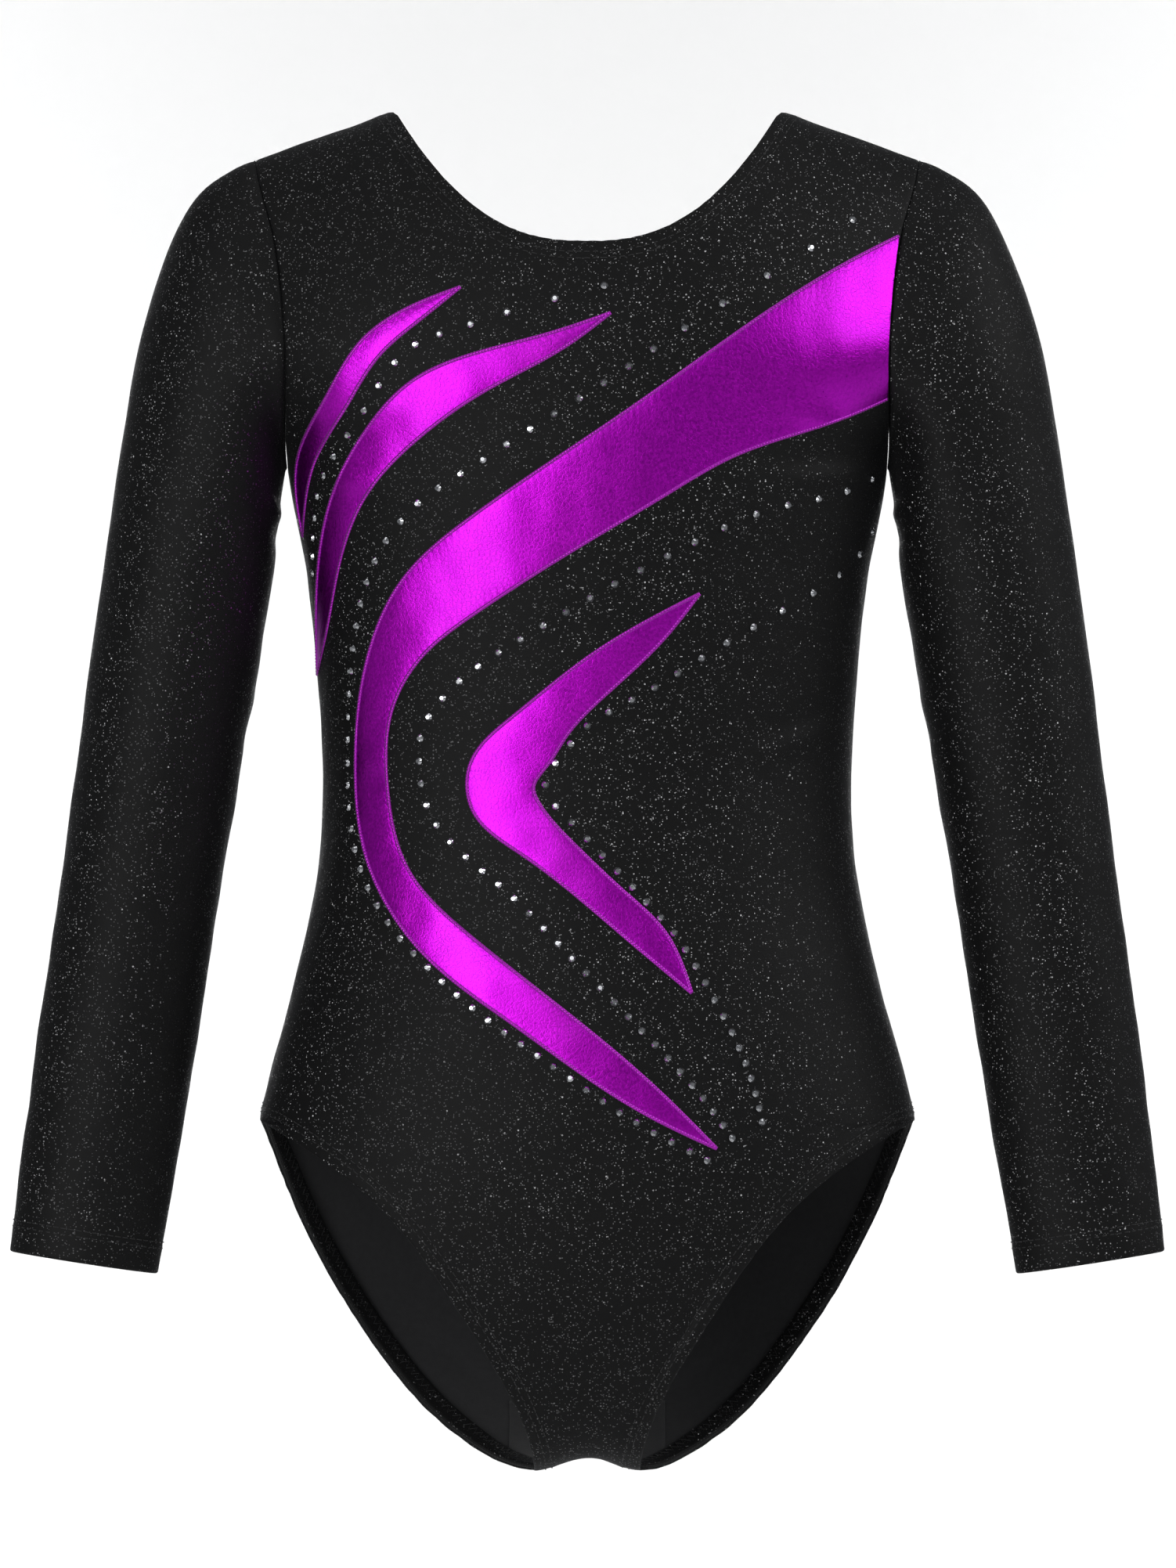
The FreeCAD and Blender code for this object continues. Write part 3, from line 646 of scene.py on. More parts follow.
class Shader:
    """A material under construction."""

    def __init__(self, name, **settings):
        self.material = bpy.data.materials.new(name)
        self.material.use_nodes = True
        self.tree = self.material.node_tree
        self.surface = self.tree.nodes["Principled BSDF"]
        for socket, value in settings.items():
            self.surface.inputs[socket.replace("_", " ")].default_value = value
        self.rest = self.node("ShaderNodeAttribute", attribute_name="rest").outputs["Vector"]

    def node(self, kind, inputs=None, **settings):
        """A new node with its settings and inputs, which are values or other nodes' outputs."""
        made = self.tree.nodes.new(kind)
        for key, value in settings.items():
            setattr(made, key, value)
        for key, value in (inputs or {}).items():
            if isinstance(value, bpy.types.NodeSocket):
                self.tree.links.new(value, made.inputs[key])
            else:
                made.inputs[key].default_value = value
        return made

    def math(self, operation, a, b):
        """One step of arithmetic."""
        return self.node("ShaderNodeMath", {0: a, 1: b}, operation=operation).outputs[0]

    def vector(self, operation, a, b=(0, 0, 0), scale=1.0):
        """One step of arithmetic on vectors."""
        return self.node("ShaderNodeVectorMath", {0: a, 1: b, 3: scale}, operation=operation).outputs[0]

    def noise(self, scale, detail=2.0, rough=0.5):
        """Smooth noise, 0 to 1."""
        inputs = {"Vector": self.rest, "Scale": scale, "Detail": detail, "Roughness": rough}
        return self.node("ShaderNodeTexNoise", inputs).outputs["Fac"]

    def cells(self, scale, feature="F1"):
        """Scattered cells: their colours, and the distance from each one's middle."""
        made = self.node("ShaderNodeTexVoronoi", {"Vector": self.rest, "Scale": scale}, feature=feature)
        return made.outputs["Color"] if feature == "F1" else None, made.outputs["Distance"]

    def range(self, value, low, high, to_low, to_high):
        """A value moved from one range to another, and held inside it."""
        inputs = {0: value, 1: low, 2: high, 3: to_low, 4: to_high}
        return self.node("ShaderNodeMapRange", inputs, clamp=True).outputs[0]

    def mix(self, share, a, b):
        """Two colours mixed."""
        return self.node("ShaderNodeMix", {0: share, 6: a, 7: b}, data_type="RGBA").outputs[2]

    def bump(self, height, distance, strength=1.0, under=None):
        """Fine relief, its distance in metres."""
        inputs = {"Height": height, "Distance": distance, "Strength": strength}
        if under is not None:
            inputs["Normal"] = under
        return self.node("ShaderNodeBump", inputs).outputs["Normal"]

    def to(self, socket, value):
        """Links a result to the surface."""
        self.tree.links.new(value, self.surface.inputs[socket])

    def colour(self, share, dark, light):
        """The surface's colour, between two."""
        self.to("Base Color", self.mix(share, rgb(*dark), rgb(*light)))

    def roughness(self, value, low, high, smooth, rough):
        """The surface's roughness, by a value between two limits."""
        self.to("Roughness", self.range(value, low, high, smooth, rough))

    def flakes(self, scale, share, size):
        """Scattered flakes of glitter: where they are, and each one's own colour."""
        colour, distance = self.cells(scale)
        apart = self.node("ShaderNodeSeparateColor", {"Color": colour})
        chosen = self.math("GREATER_THAN", apart.outputs[0], 1 - share)
        near = self.math("LESS_THAN", distance, size)
        return self.math("MULTIPLY", chosen, near), colour


def rgb(r, g, b):
    """A colour with no transparency."""
    return (r, g, b, 1.0)


def glitter_cloth():
    """Black stretch cloth with fine silver flakes."""
    s = Shader("glitter_cloth", Specular_IOR_Level=0.24, Sheen_Weight=0.09, Sheen_Roughness=0.4)
    s.surface.inputs["Sheen Tint"].default_value = rgb(0.75, 0.76, 0.8)
    fine, fine_colour = s.flakes(1900.0, 0.12, 0.42)
    large, large_colour = s.flakes(950.0, 0.07, 0.32)
    where = s.math("MAXIMUM", fine, large)
    tone = s.mix(s.noise(60.0, 3.0), rgb(0.0040, 0.0040, 0.0042), rgb(0.0066, 0.0066, 0.0068))
    s.to("Base Color", s.mix(where, tone, rgb(0.28, 0.28, 0.285)))
    s.to("Metallic", where)
    s.roughness(where, 0.0, 1.0, 0.58, 0.34)
    both = s.mix(large, fine_colour, large_colour)
    lean = s.vector("SUBTRACT", both, (0.5, 0.5, 0.5))
    lean = s.vector("SCALE", lean, scale=s.math("MULTIPLY", where, 1.1))
    knit = s.bump(s.noise(1300.0, 2.0, 0.6), 0.00012, 0.55)
    s.to("Normal", s.vector("NORMALIZE", s.vector("ADD", knit, lean)))
    return s.material


def cloth_inside(name, tone, rough=0.85):
    """The cloth's inner side, with no flakes, and other plain knits."""
    s = Shader(name, Specular_IOR_Level=0.22, Sheen_Weight=0.25, Sheen_Roughness=0.5)
    dark, light = (tuple(c * k for c in tone) for k in (0.75, 1.25))
    s.colour(s.noise(420.0, 3.0, 0.65), dark, light)
    s.roughness(s.noise(90.0), 0.3, 0.7, rough - 0.08, rough)
    s.to("Normal", s.bump(s.noise(1500.0, 2.0, 0.6), 0.00012, 0.6))
    return s.material


def foil_cloth():
    """Purple metallic foil on stretch cloth, with a fine crackled grain."""
    s = Shader("foil_cloth", Metallic=1.0, Coat_Weight=0.14, Coat_Roughness=0.22)
    grain = s.noise(900.0, 4.0, 0.65)
    blotch = s.noise(75.0, 3.0, 0.5)
    _, crackle = s.cells(620.0, "DISTANCE_TO_EDGE")
    tone = s.mix(s.range(grain, 0.3, 0.7, 0, 1), rgb(0.58, 0.005, 0.70), rgb(0.86, 0.012, 0.96))
    s.to("Base Color", s.mix(s.range(blotch, 0.35, 0.7, 0.0, 0.35), tone, rgb(0.74, 0.006, 0.86)))
    s.roughness(grain, 0.25, 0.75, 0.25, 0.42)
    lines = s.bump(s.range(crackle, 0.0, 0.12, 0.0, 1.0), 0.00005, 0.5)
    s.to("Normal", s.bump(grain, 0.00016, 0.55, lines))
    return s.material


def thread(name, dark, light, roughness=0.42, metallic=0.0):
    """Glossy sewing or embroidery thread."""
    s = Shader(name, Specular_IOR_Level=0.5, Sheen_Weight=0.2, Metallic=metallic)
    s.colour(s.noise(1400.0, 2.0), dark, light)
    s.roughness(s.noise(2200.0), 0.3, 0.7, roughness - 0.08, roughness + 0.08)
    s.to("Normal", s.bump(s.noise(4200.0, 1.0), 0.00006, 0.5))
    return s.material


def elastic_tape():
    """Ribbed woven elastic."""
    s = Shader("elastic_tape", Specular_IOR_Level=0.3, Sheen_Weight=0.2)
    wave = s.node("ShaderNodeTexWave", {"Vector": s.rest, "Scale": 320.0, "Distortion": 0.6, "Detail": 1.0})
    s.colour(wave.outputs["Fac"], (0.010, 0.010, 0.010), (0.026, 0.026, 0.026))
    s.roughness(s.noise(300.0), 0.3, 0.7, 0.7, 0.85)
    s.to("Normal", s.bump(wave.outputs["Fac"], 0.00012, 0.6))
    return s.material


def stone_glass():
    """Faceted glass with a silver back, which mirrors the room."""
    s = Shader("stone_glass", Metallic=1.0, Coat_Weight=1.0, Coat_Roughness=0.02)
    s.colour(s.noise(260.0, 2.0), (0.62, 0.64, 0.68), (0.93, 0.94, 0.97))
    s.roughness(s.noise(900.0), 0.3, 0.7, 0.05, 0.13)
    return s.material


def label_ribbon():
    """White satin ribbon, blank."""
    s = Shader("label_ribbon", Specular_IOR_Level=0.5, Sheen_Weight=0.3)
    wave = s.node("ShaderNodeTexWave", {"Vector": s.rest, "Scale": 900.0, "Distortion": 0.3})
    s.colour(wave.outputs["Fac"], (0.74, 0.74, 0.72), (0.84, 0.84, 0.82))
    s.roughness(s.noise(400.0), 0.3, 0.7, 0.38, 0.5)
    s.to("Normal", s.bump(wave.outputs["Fac"], 0.00004, 0.5))
    return s.material


GLITTER = glitter_cloth()
# Painted light: the inside's tone is several times the outer cloth's, so the shaded inside shows as brightly
# as if it were lit.
PAINTED_LIGHT_INSIDE = cloth_inside("cloth_inside", (0.036, 0.036, 0.038))
LINING = cloth_inside("crotch_lining", (0.042, 0.042, 0.044), 0.8)
FOIL = foil_cloth()
BLACK_THREAD = thread("black_thread", (0.008, 0.008, 0.009), (0.02, 0.02, 0.021), 0.5)
PURPLE_THREAD = thread("purple_thread", (0.42, 0.006, 0.50), (0.80, 0.05, 0.90), 0.3, 0.7)
INSIDE_THREAD = thread("overlock_thread", (0.012, 0.012, 0.013), (0.028, 0.028, 0.029), 0.6)
ELASTIC = elastic_tape()
GLASS = stone_glass()
RIBBON = label_ribbon()


# --- The panels ---

def distances_to(grid, lines):
    """How far each point of a grid is from the nearest of some lines."""
    points = np.concatenate([spaced(line, 0.8) for line in lines])
    tree = KDTree(len(points))
    for i, point in enumerate(points):
        tree.insert(point, i)
    tree.balance()
    return np.array([tree.find(p)[2] for p in grid.reshape(-1, 3)]).reshape(grid.shape[:2])


def rolled(distance, radius, depth):
    """How far an edge is rolled in, by the distance from it."""
    inside = np.clip(1 - distance / radius, 0, 1)
    return depth * (1 - np.sqrt(np.maximum(1 - inside ** 2, 0)))


def edges_of(grid):
    """Edges of a panel's grid: neck, legs, and the seams round the rest."""
    at = columns()
    neck = NECK_SHARE
    in_neck = np.abs(at) <= neck + 1e-6
    hip = len(EDGE_ROWS) + CHEST_ROWS + FLANK_ROWS - 2
    legs = {"left": grid[hip - 1:, -1], "right": grid[hip - 1:, 0]}
    seams = [grid[0, at >= neck - 1e-6], grid[0, at <= -neck + 1e-6]]
    seams += [grid[:hip, 0], grid[:hip, -1], grid[-1]]
    return grid[0, in_neck], legs, seams


def pull_apart(face, grid):
    """Moves a panel's seam edges off the seam's middle line, so that the two panels don't touch."""
    grid = grid.copy()
    close = np.abs(grid[..., 1]) < PARTING / 2
    grid[..., 1] = np.where(close, WAY[face] * PARTING / 2, grid[..., 1])
    return grid


def make_panel(face):
    """One panel, with rolled edges and hems. Gives the piece, its smooth face and its edges."""
    grid, out = set_cloth(face, pull_apart(face, panel_points(face)))
    neck, legs, seams = edges_of(grid)
    at_seam = distances_to(grid, seams)
    at_hem = distances_to(grid, [neck, *legs.values()])
    sink = np.maximum(rolled(at_seam, 1.5, 0.5), rolled(at_hem, 1.2, 0.55))
    ridge = 0.22 * np.clip((HEM + 1.5 - at_hem) / 3.0, 0, 1) - 0.16 * bump(at_hem - 5.6, 1.1)
    gather = 0.10 * drift(grid, 9.0, 8) * bump(at_hem, 7.0)
    shown = grid + out * (ridge + gather - sink)[..., None]
    inner = grid - out * CLOTH
    mesh = Mesh()
    mesh.shell(shown, inner)
    return mesh, grid, out, neck, legs


# --- Trims laid on or in the cloth ---

def aside_of(surface, line):
    """Directions along a line, and beside it on the side where the cloth is."""
    tangent = unit(np.gradient(line, axis=0))
    _, out = surface.lay(line)
    aside = unit(np.cross(out, tangent))
    test = line[len(line) // 2]
    way = aside[len(line) // 2] * 5.0
    off = [np.linalg.norm(surface.nearest(test + way * s)[0] - (test + way * s)) for s in (1, -1)]
    return tangent, aside if off[0] <= off[1] else -aside


def ribbon(mesh, surface, line, widths, outer, inner):
    """A strip of cloth beside a line, between two depths in the cloth."""
    _, aside = aside_of(surface, line)
    spread = line[:, None, :] + aside[:, None, :] * np.asarray(widths)[None, :, None]
    place, out = surface.lay(spread)
    mesh.layer(place, out, outer, inner)


def stitches(mesh, surface, line, offset, pitch, length, height, half=0.19):
    """A row of short raised stitches beside a line."""
    count = max(int(travelled(line)[-1] / pitch), 2)
    centres = evenly(line, count + 1)[:-1]
    tangent, aside = aside_of(surface, centres)
    place, out = surface.lay(centres + aside * offset)
    across = unit(np.cross(out, tangent))
    shares = np.array([-0.5, -0.3, 0.0, 0.3, 0.5])
    rise = np.array([0.1, 0.8, 1.0, 0.8, 0.1])
    turns = full_turn(6)
    for k in range(count):
        middle = place[k] + tangent[k] * (shares * length)[:, None] + out[k] * (rise * height)[:, None]
        ring = across[k] * np.cos(turns)[:, None] * half + out[k] * np.sin(turns)[:, None] * half * 0.7
        mesh.tube(middle[:, None, :] + ring[None, :, :])


def zigzag(mesh, surface, line, low, high, pitch, depth, radius=0.16):
    """An overlock thread that runs to and fro beside a line."""
    count = max(int(travelled(line)[-1] / pitch) * 2, 4)
    centres = evenly(line, count)
    _, aside = aside_of(surface, centres)
    offsets = np.where(np.arange(count) % 2 == 0, low, high)
    place, out = surface.lay(centres + aside * offsets[:, None])
    path = place - out * depth
    along = unit(np.gradient(path, axis=0))
    wide = unit(np.cross(out, along))
    turns = full_turn(5)
    rings = path[:, None, :] + radius * (
        wide[:, None, :] * np.cos(turns)[None, :, None] + out[:, None, :] * np.sin(turns)[None, :, None]
    )
    mesh.tube(rings)


panels = {face: make_panel(face) for face in WAY}
torso_skin = Surface([panels[face][1:3] for face in WAY])
front_skin = Surface([panels["front"][1:3]])


def hem_lines():
    """The edges of the hems, by opening: each one's line on the front and on the back."""
    lines = {"neckline": [panels[face][3] for face in WAY]}
    for side in SIDES:
        lines[f"{side}_leg"] = [panels[face][4][side] for face in WAY]
    return lines


def make_panels():
    """Both panels, each with the cloth that is turned in at its hems."""
    made = {}
    for face, (mesh, _, _, neck, legs) in panels.items():
        for line in (neck, *legs.values()):
            ribbon(mesh, torso_skin, spaced(line, 2), np.linspace(0.9, HEM + 0.3, 6), TURNED, TURNED + CLOTH)
        made[face] = on_torso(
            mesh, f"{face}_panel_cloth", [GLITTER, PAINTED_LIGHT_INSIDE], "glitter_cloth", f"{face}_panel"
        )
    return made


def make_hems():
    """Each hem's elastic, its two rows of cover stitch, and the looper thread inside."""
    made = []
    for opening, lines in hem_lines().items():
        tape, threads = Mesh(), Mesh()
        for line in lines:
            ribbon(tape, torso_skin, spaced(line, 2), np.linspace(0.7, HEM, 6), *UNDER_CLOTH)
            for offset in HEM_ROWS:
                stitches(threads, torso_skin, line, offset, HEM_PITCH, 2.3, 0.34)
            low, high = HEM_ROWS[0] - 0.2, HEM_ROWS[1] + 0.2
            zigzag(threads, torso_skin, line, low, high, HEM_PITCH, TURNED + CLOTH + 0.12)
        made.append(on_torso(tape, f"{opening}_elastic_tape", [ELASTIC], "elastic", f"{opening}_elastic"))
        made.append(on_torso(threads, f"{opening}_cover_stitch", [BLACK_THREAD], "seam_thread"))
    return made


def seam(name, node, surface, line, widths, edges):
    """Allowances pressed open over a seam, and the overlock along their edges."""
    mesh = Mesh()
    line = spaced(line, 2.2)
    ribbon(mesh, surface, line, widths, *UNDER_CLOTH)
    for low, high in edges:
        zigzag(mesh, surface, line, low, high, 2.4, UNDER_CLOTH[1] + 0.1)
    piece = mesh.make(name, [INSIDE_THREAD], "seam_thread")
    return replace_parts(piece, node)


# Seam allowances: offsets across them, and the overlocked strips beside the seam.
OPEN = (
    (-ALLOWANCE, -2.0, -0.25, 0.25, 2.0, ALLOWANCE),
    ((-ALLOWANCE + 0.1, -1.4), (1.4, ALLOWANCE - 0.1)),
)
TO_ONE_SIDE = ((0.5, 2.5, 4.5, 6.3), ((3.6, 6.2),))


def make_torso_seams():
    """Shoulder, side, armhole and crotch seams, inside the cloth."""
    x = np.linspace(-10, 10, 21)
    lines = {"crotch": (np.stack([x, 0 * x, CROTCH + ARCH * bump(x, ARCH_WIDTH)], -1), OPEN)}
    for side, sign in SIDES.items():
        x = np.linspace(NECK_HALF + HEM + 2, 119, 24)
        slope = -SHOULDER_SLOPE * (x - SHOULDER_LEVEL)
        lines[f"{side}_shoulder"] = np.stack([sign * x, 0 * x, slope], -1), OPEN
        z = np.linspace(ARMPIT - 10, HIP + HEM + 4, 110)
        lines[f"{side}_side"] = np.stack([sign * between(WIDTH, z), 0 * z, z], -1), OPEN
        ring = armhole_loop(np.linspace(0.08, 2 * np.pi - 0.08, 220)) * np.array([sign, 1, 1])
        lines[f"{side}_armhole"] = ring, TO_ONE_SIDE
    made = []
    for name, (line, kind) in lines.items():
        piece = seam(f"{name}_allowance", f"{name}_seam", torso_skin, line, *kind)
        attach(piece, "torso")
        made.append(piece)
    return made


def make_gusset():
    """Lining of the crotch, in front of and behind its seam."""
    mesh = Mesh()
    for face, top in (("front", 455.0), ("back", 500.0)):
        first = float(down(np.float64(-top)))
        distance = np.linspace(first, -SEAT + 86.6 * UNDER_RATE, 34)
        turn = np.radians((distance + SEAT) / UNDER_RATE)
        height = SEAT - (SEAT - CROTCH) * np.sin(turn)
        swell = np.sqrt(1 - np.sin(turn) ** FULLNESS[face])
        half = np.minimum(leg_half(face, distance) - HEM - 1.5, 30.0)
        shares = np.linspace(-1, 1, 25)
        across = np.arcsin(half[:, None] * shares / between(WIDTH, height)[:, None]) / (np.pi / 2)
        grid = skin(face, across, height[:, None], swell[:, None])
        place, out = torso_skin.lay(grid)
        mesh.layer(place, out, *UNDER_CLOTH)
    return on_torso(mesh, "gusset_lining_cloth", [LINING], "lining", "gusset_lining")


def make_label():
    """Blank label, sewn in below the back of the neckline."""
    low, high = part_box("size_label")
    x = np.linspace(low.x, high.x, 21) / MM
    z = np.linspace(high.z, low.z, 17) / MM
    start = np.stack(np.broadcast_arrays(x[None, :], 66.0, z[:, None]), -1)
    place, out = torso_skin.lay(start)
    hang = np.linspace(0, 1, len(z))[:, None]
    depth = TURNED + CLOTH + 0.4 + 1.2 * hang ** 1.5 + 0.25 * hang * np.sin(x / 4.2)[None, :]
    mesh = Mesh()
    mesh.layer(place, out, depth, depth + 0.35)
    return on_torso(mesh, "size_label_ribbon", [RIBBON], "label", "size_label")


# --- The sleeves ---

def sleeve_stations():
    """Stations of a left sleeve from the armhole to the cuff: underarm x, z; outer x, z; half depth."""
    stations = list(SLEEVE_HEAD)
    for along, tilt, width, depth in SLEEVE:
        way = np.array([math.sin(SLEEVE_LEAN), -math.cos(SLEEVE_LEAN)])
        centre = np.array([SLEEVE_X, SLEEVE_Z]) + along * way
        lean = SLEEVE_LEAN + math.radians(tilt)
        half = width / math.cos(math.radians(tilt))
        reach = half * np.array([math.cos(lean), math.sin(lean)])
        stations.append((*(centre - reach), *(centre + reach), depth))
    return np.array(stations)


STATIONS = sleeve_stations()
MIDDLES = np.stack([(STATIONS[:, 0] + STATIONS[:, 2]) / 2, (STATIONS[:, 1] + STATIONS[:, 3]) / 2], -1)
SLEEVE_KNOTS = travelled(MIDDLES)
SLEEVE_LENGTH = SLEEVE_KNOTS[-1]
HEAD_FADE = 25.0


def armhole_loop(turns):
    """The panels' armhole edge at turns from the shoulder (0) round the front to the armpit and back."""
    top, bottom = STATIONS[0, 3], STATIONS[0, 1]
    height = np.clip((top + bottom) / 2 + (top - bottom) / 2 * np.cos(turns), ARMPIT, -18.5)
    drop = -18.5 - height
    swell = np.sqrt(np.maximum(1 - np.clip(1 - drop / SHOULDER_ROUND, 0, 1) ** 2, 0))
    front = np.sin(turns) > 0
    depth = np.where(front, between(FRONT, height), between(BACK, height))
    depth = depth * np.cos(edge_angle(height)) * swell
    return np.stack([between(WIDTH, height) + PARTING, np.where(front, -depth, depth), height], -1)


def sleeve_point(along, turn):
    """Points of a left sleeve's outer face, by distance along it and turn round it from the outer edge."""
    along, turn = np.broadcast_arrays(along, turn)
    shape = along.shape
    along, turn = along.ravel(), turn.ravel()
    station = cubic(SLEEVE_KNOTS, STATIONS, along)
    middle = (station[:, 0:2] + station[:, 2:4]) / 2
    reach = (station[:, 2:4] - station[:, 0:2]) / 2
    seen = middle + reach * np.cos(turn)[:, None]
    points = np.stack([seen[:, 0], -station[:, 4] * np.sin(turn), seen[:, 1]], -1)
    first = STATIONS[0]
    oval_x = (first[0] + first[2]) / 2 + (first[2] - first[0]) / 2 * np.cos(turn)
    oval_z = (first[1] + first[3]) / 2 + (first[3] - first[1]) / 2 * np.cos(turn)
    oval = np.stack([oval_x, -first[4] * np.sin(turn), oval_z], -1)
    fade = np.exp(-along / HEAD_FADE)[:, None]
    return (points + (armhole_loop(turn) - oval) * fade).reshape(shape + (3,))


# Folds of a sleeve: distance along, turn in degrees, length round in degrees, half width, height.
SLEEVE_FOLDS = (
    (46.0, 178.0, 95.0, 4.5, 0.9),
    (60.0, 190.0, 80.0, 5.0, -0.6),
    (150.0, 175.0, 110.0, 6.0, 0.45),
    (166.0, 160.0, 90.0, 6.0, -0.4),
    (30.0, 40.0, 60.0, 6.0, 0.35),
)
SLEEVE_FULLER = {1: 3.2, -1: 0.9}
TURNS = full_turn(132)


def sleeve_face(sign, along, turn):
    """A sleeve's outer face with its folds, and the directions across it, as rows of rings."""
    grid = sleeve_point(along[:, None], turn[None, :])
    out = normals_of(grid, wrap=True)
    if (out[..., 1] * np.sin(turn)[None, :]).sum() > 0:
        out = -out
    height = 0.2 * drift(grid + 40 * sign, 40.0, 21) + 0.08 * drift(grid, 15.0, 22)
    height *= np.clip(along / 20.0, 0, 1)[:, None]
    for place, middle, length, width, depth in SLEEVE_FOLDS:
        away = (np.degrees(turn)[None, :] - middle + 180) % 360 - 180
        bow = 0.0009 * away ** 2
        height = height + depth * bump(along[:, None] - place - bow * sign, width) * bump(away, length / 2)
    outside = bump((np.degrees(turn)[None, :] + 180) % 360 - 180, 70.0)
    to_cuff = np.clip((SLEEVE_LENGTH - along) / 240.0, 0, 1)
    fuller = SLEEVE_FULLER[sign] * np.clip(along / 60.0, 0, 1) * to_cuff
    height = height + fuller[:, None] * outside
    flip = np.array([sign, 1.0, 1.0])
    return (grid + out * height[..., None]) * flip, out * flip


def make_sleeve(sign):
    """A sleeve from the armhole to the cuff, in one piece. Gives its mesh, smooth face and directions."""
    straight = np.linspace(EDGE_ROWS[-1], SLEEVE_LENGTH - EDGE_ROWS[-1], 190)[1:-1]
    along = np.concatenate([EDGE_ROWS, straight, SLEEVE_LENGTH - EDGE_ROWS[::-1]])
    grid, out = sleeve_face(sign, along, TURNS)
    underarm = (TURNS - np.pi)[None, :] * 30.0
    to_cuff = SLEEVE_LENGTH - along
    sink = rolled(along, 1.6, 0.55)[:, None] + rolled(to_cuff, 1.0, 0.45)[:, None]
    sink = sink + 0.35 * bump(underarm, 0.9)
    ridge = 0.3 * np.clip((CUFF_HEM + 1 - to_cuff) / 2.5, 0, 1) - 0.2 * bump(to_cuff - CUFF_HEM + 1.2, 0.9)
    ridge = ridge + 0.35 * bump(along - 3.2, 2.2)
    mesh = Mesh()
    mesh.shell(grid + out * (ridge[:, None] - sink)[..., None], grid - out * CLOTH, wrap=True)
    return mesh, grid, out


def sleeve_blend(piece):
    """Bakes a piece's placement into its points, in metres."""
    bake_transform(piece)


def make_sleeves():
    """Both sleeves with their underarm seams, turned cuffs and stitches. Gives each one's pieces."""
    made = {}
    for side, sign in SIDES.items():
        mesh, grid, out = make_sleeve(sign)
        cloth = mesh.make(f"{side}_sleeve_cloth", [GLITTER, PAINTED_LIGHT_INSIDE], "glitter_cloth")
        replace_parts(cloth, f"{side}_sleeve_head", f"{side}_sleeve")
        wrapped = Surface([(np.concatenate([g, g[:, :1]], axis=1) for g in (grid, out))])
        along = np.linspace(SLEEVE_KNOTS[4] + 12, SLEEVE_LENGTH - CUFF_HEM - 3, 120)
        line = sleeve_face(sign, along, np.array([np.pi - 0.01, np.pi, np.pi + 0.01]))[0][:, 1]
        underarm = seam(f"{side}_underarm_allowance", f"{side}_sleeve_seam", wrapped, line, *OPEN)
        for piece in (cloth, underarm):
            sleeve_blend(piece)
        ring, ring_out = sleeve_face(sign, SLEEVE_LENGTH - np.linspace(CUFF_HEM, 0.5, 9), TURNS)
        mesh = Mesh()
        mesh.layer(ring, ring_out, *UNDER_CLOTH, wrap=True)
        cuff = mesh.make(f"{side}_cuff_turned", [GLITTER], "glitter_cloth")
        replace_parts(cuff, f"{side}_cuff_hem")
        mesh = Mesh()
        for from_edge in (CUFF_HEM - 3.2, CUFF_HEM - 0.8):
            line, _ = sleeve_face(sign, SLEEVE_LENGTH - np.array([from_edge, 0.0]), full_turn(240))
            closed = np.concatenate([line[0], line[0, :1]])
            stitches(mesh, wrapped, closed, 0.0, 3.0, 2.2, 0.36)
        thread_piece = mesh.make(f"{side}_cuff_cover_stitch", [BLACK_THREAD], "seam_thread")
        for piece in (cuff, thread_piece):
            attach(piece, f"{side}_sleeve")
        made[side] = (cloth, underarm, cuff, thread_piece)
    return made


# --- Ornaments and stones ---

def ornament_edges(label):
    """Both edges of an ornament seen from the front, as close points from tip to tip."""
    lines = []
    for points in ORNAMENTS[label]:
        line = smooth_line(points)
        inside = line[:, 0] < between(WIDTH, line[:, 1]) - 0.6
        lines.append(line[int(np.argmax(inside)):])
    return lines


FOIL_STEP = 0.8
FOIL_COLUMNS = 16
NARROWEST = 0.5


def make_foil(label):
    """One foil ornament, laid on the front and drawn a little tight by the stitches at its edges."""
    first, second = ornament_edges(label)
    count = int(max(travelled(first)[-1], travelled(second)[-1]) / FOIL_STEP)
    first, second = evenly(first, count), evenly(second, count)
    wide = np.linalg.norm(second - first, axis=1)
    kept = wide > NARROWEST
    first, second, wide = first[kept], second[kept], wide[kept]
    shares = (1 - np.cos(np.linspace(0, np.pi, FOIL_COLUMNS + 1))) / 2
    seen = first[:, None, :] + (second - first)[:, None, :] * shares[None, :, None]
    limit = np.where(seen[..., 1] > ARMPIT, between(WIDTH, seen[..., 1]) - 0.6, 999.0)
    seen[..., 0] = np.minimum(seen[..., 0], limit)
    place, out = front_skin.lay_seen(seen)
    from_edge = wide[:, None] * np.minimum(shares, 1 - shares)[None, :]
    along = np.arange(len(first))[:, None] * FOIL_STEP
    height = 0.32 + 0.26 * (1 - np.exp(-from_edge / 2.4))
    pull = np.sin(2 * np.pi * along / 3.1 + 1.3 * np.sin(along / 7.0) + 2 * shares[None, :])
    height = height + 0.05 * pull * np.exp(-from_edge / 2.6) + 0.05 * drift(place, 16.0, 31)
    mesh = Mesh()
    mesh.layer(place, out, -height, -GAP)
    return on_torso(mesh, f"{label}_foil", [FOIL], "foil_cloth", label)


STITCH_PITCH = 1.25
# Section of the satin stitch: aside and height.
SATIN = np.array((
    (-0.78, 0.06), (-0.72, 0.42), (-0.36, 0.70), (0.0, 0.78),
    (0.36, 0.70), (0.72, 0.42), (0.78, 0.06), (0.0, 0.05),
))


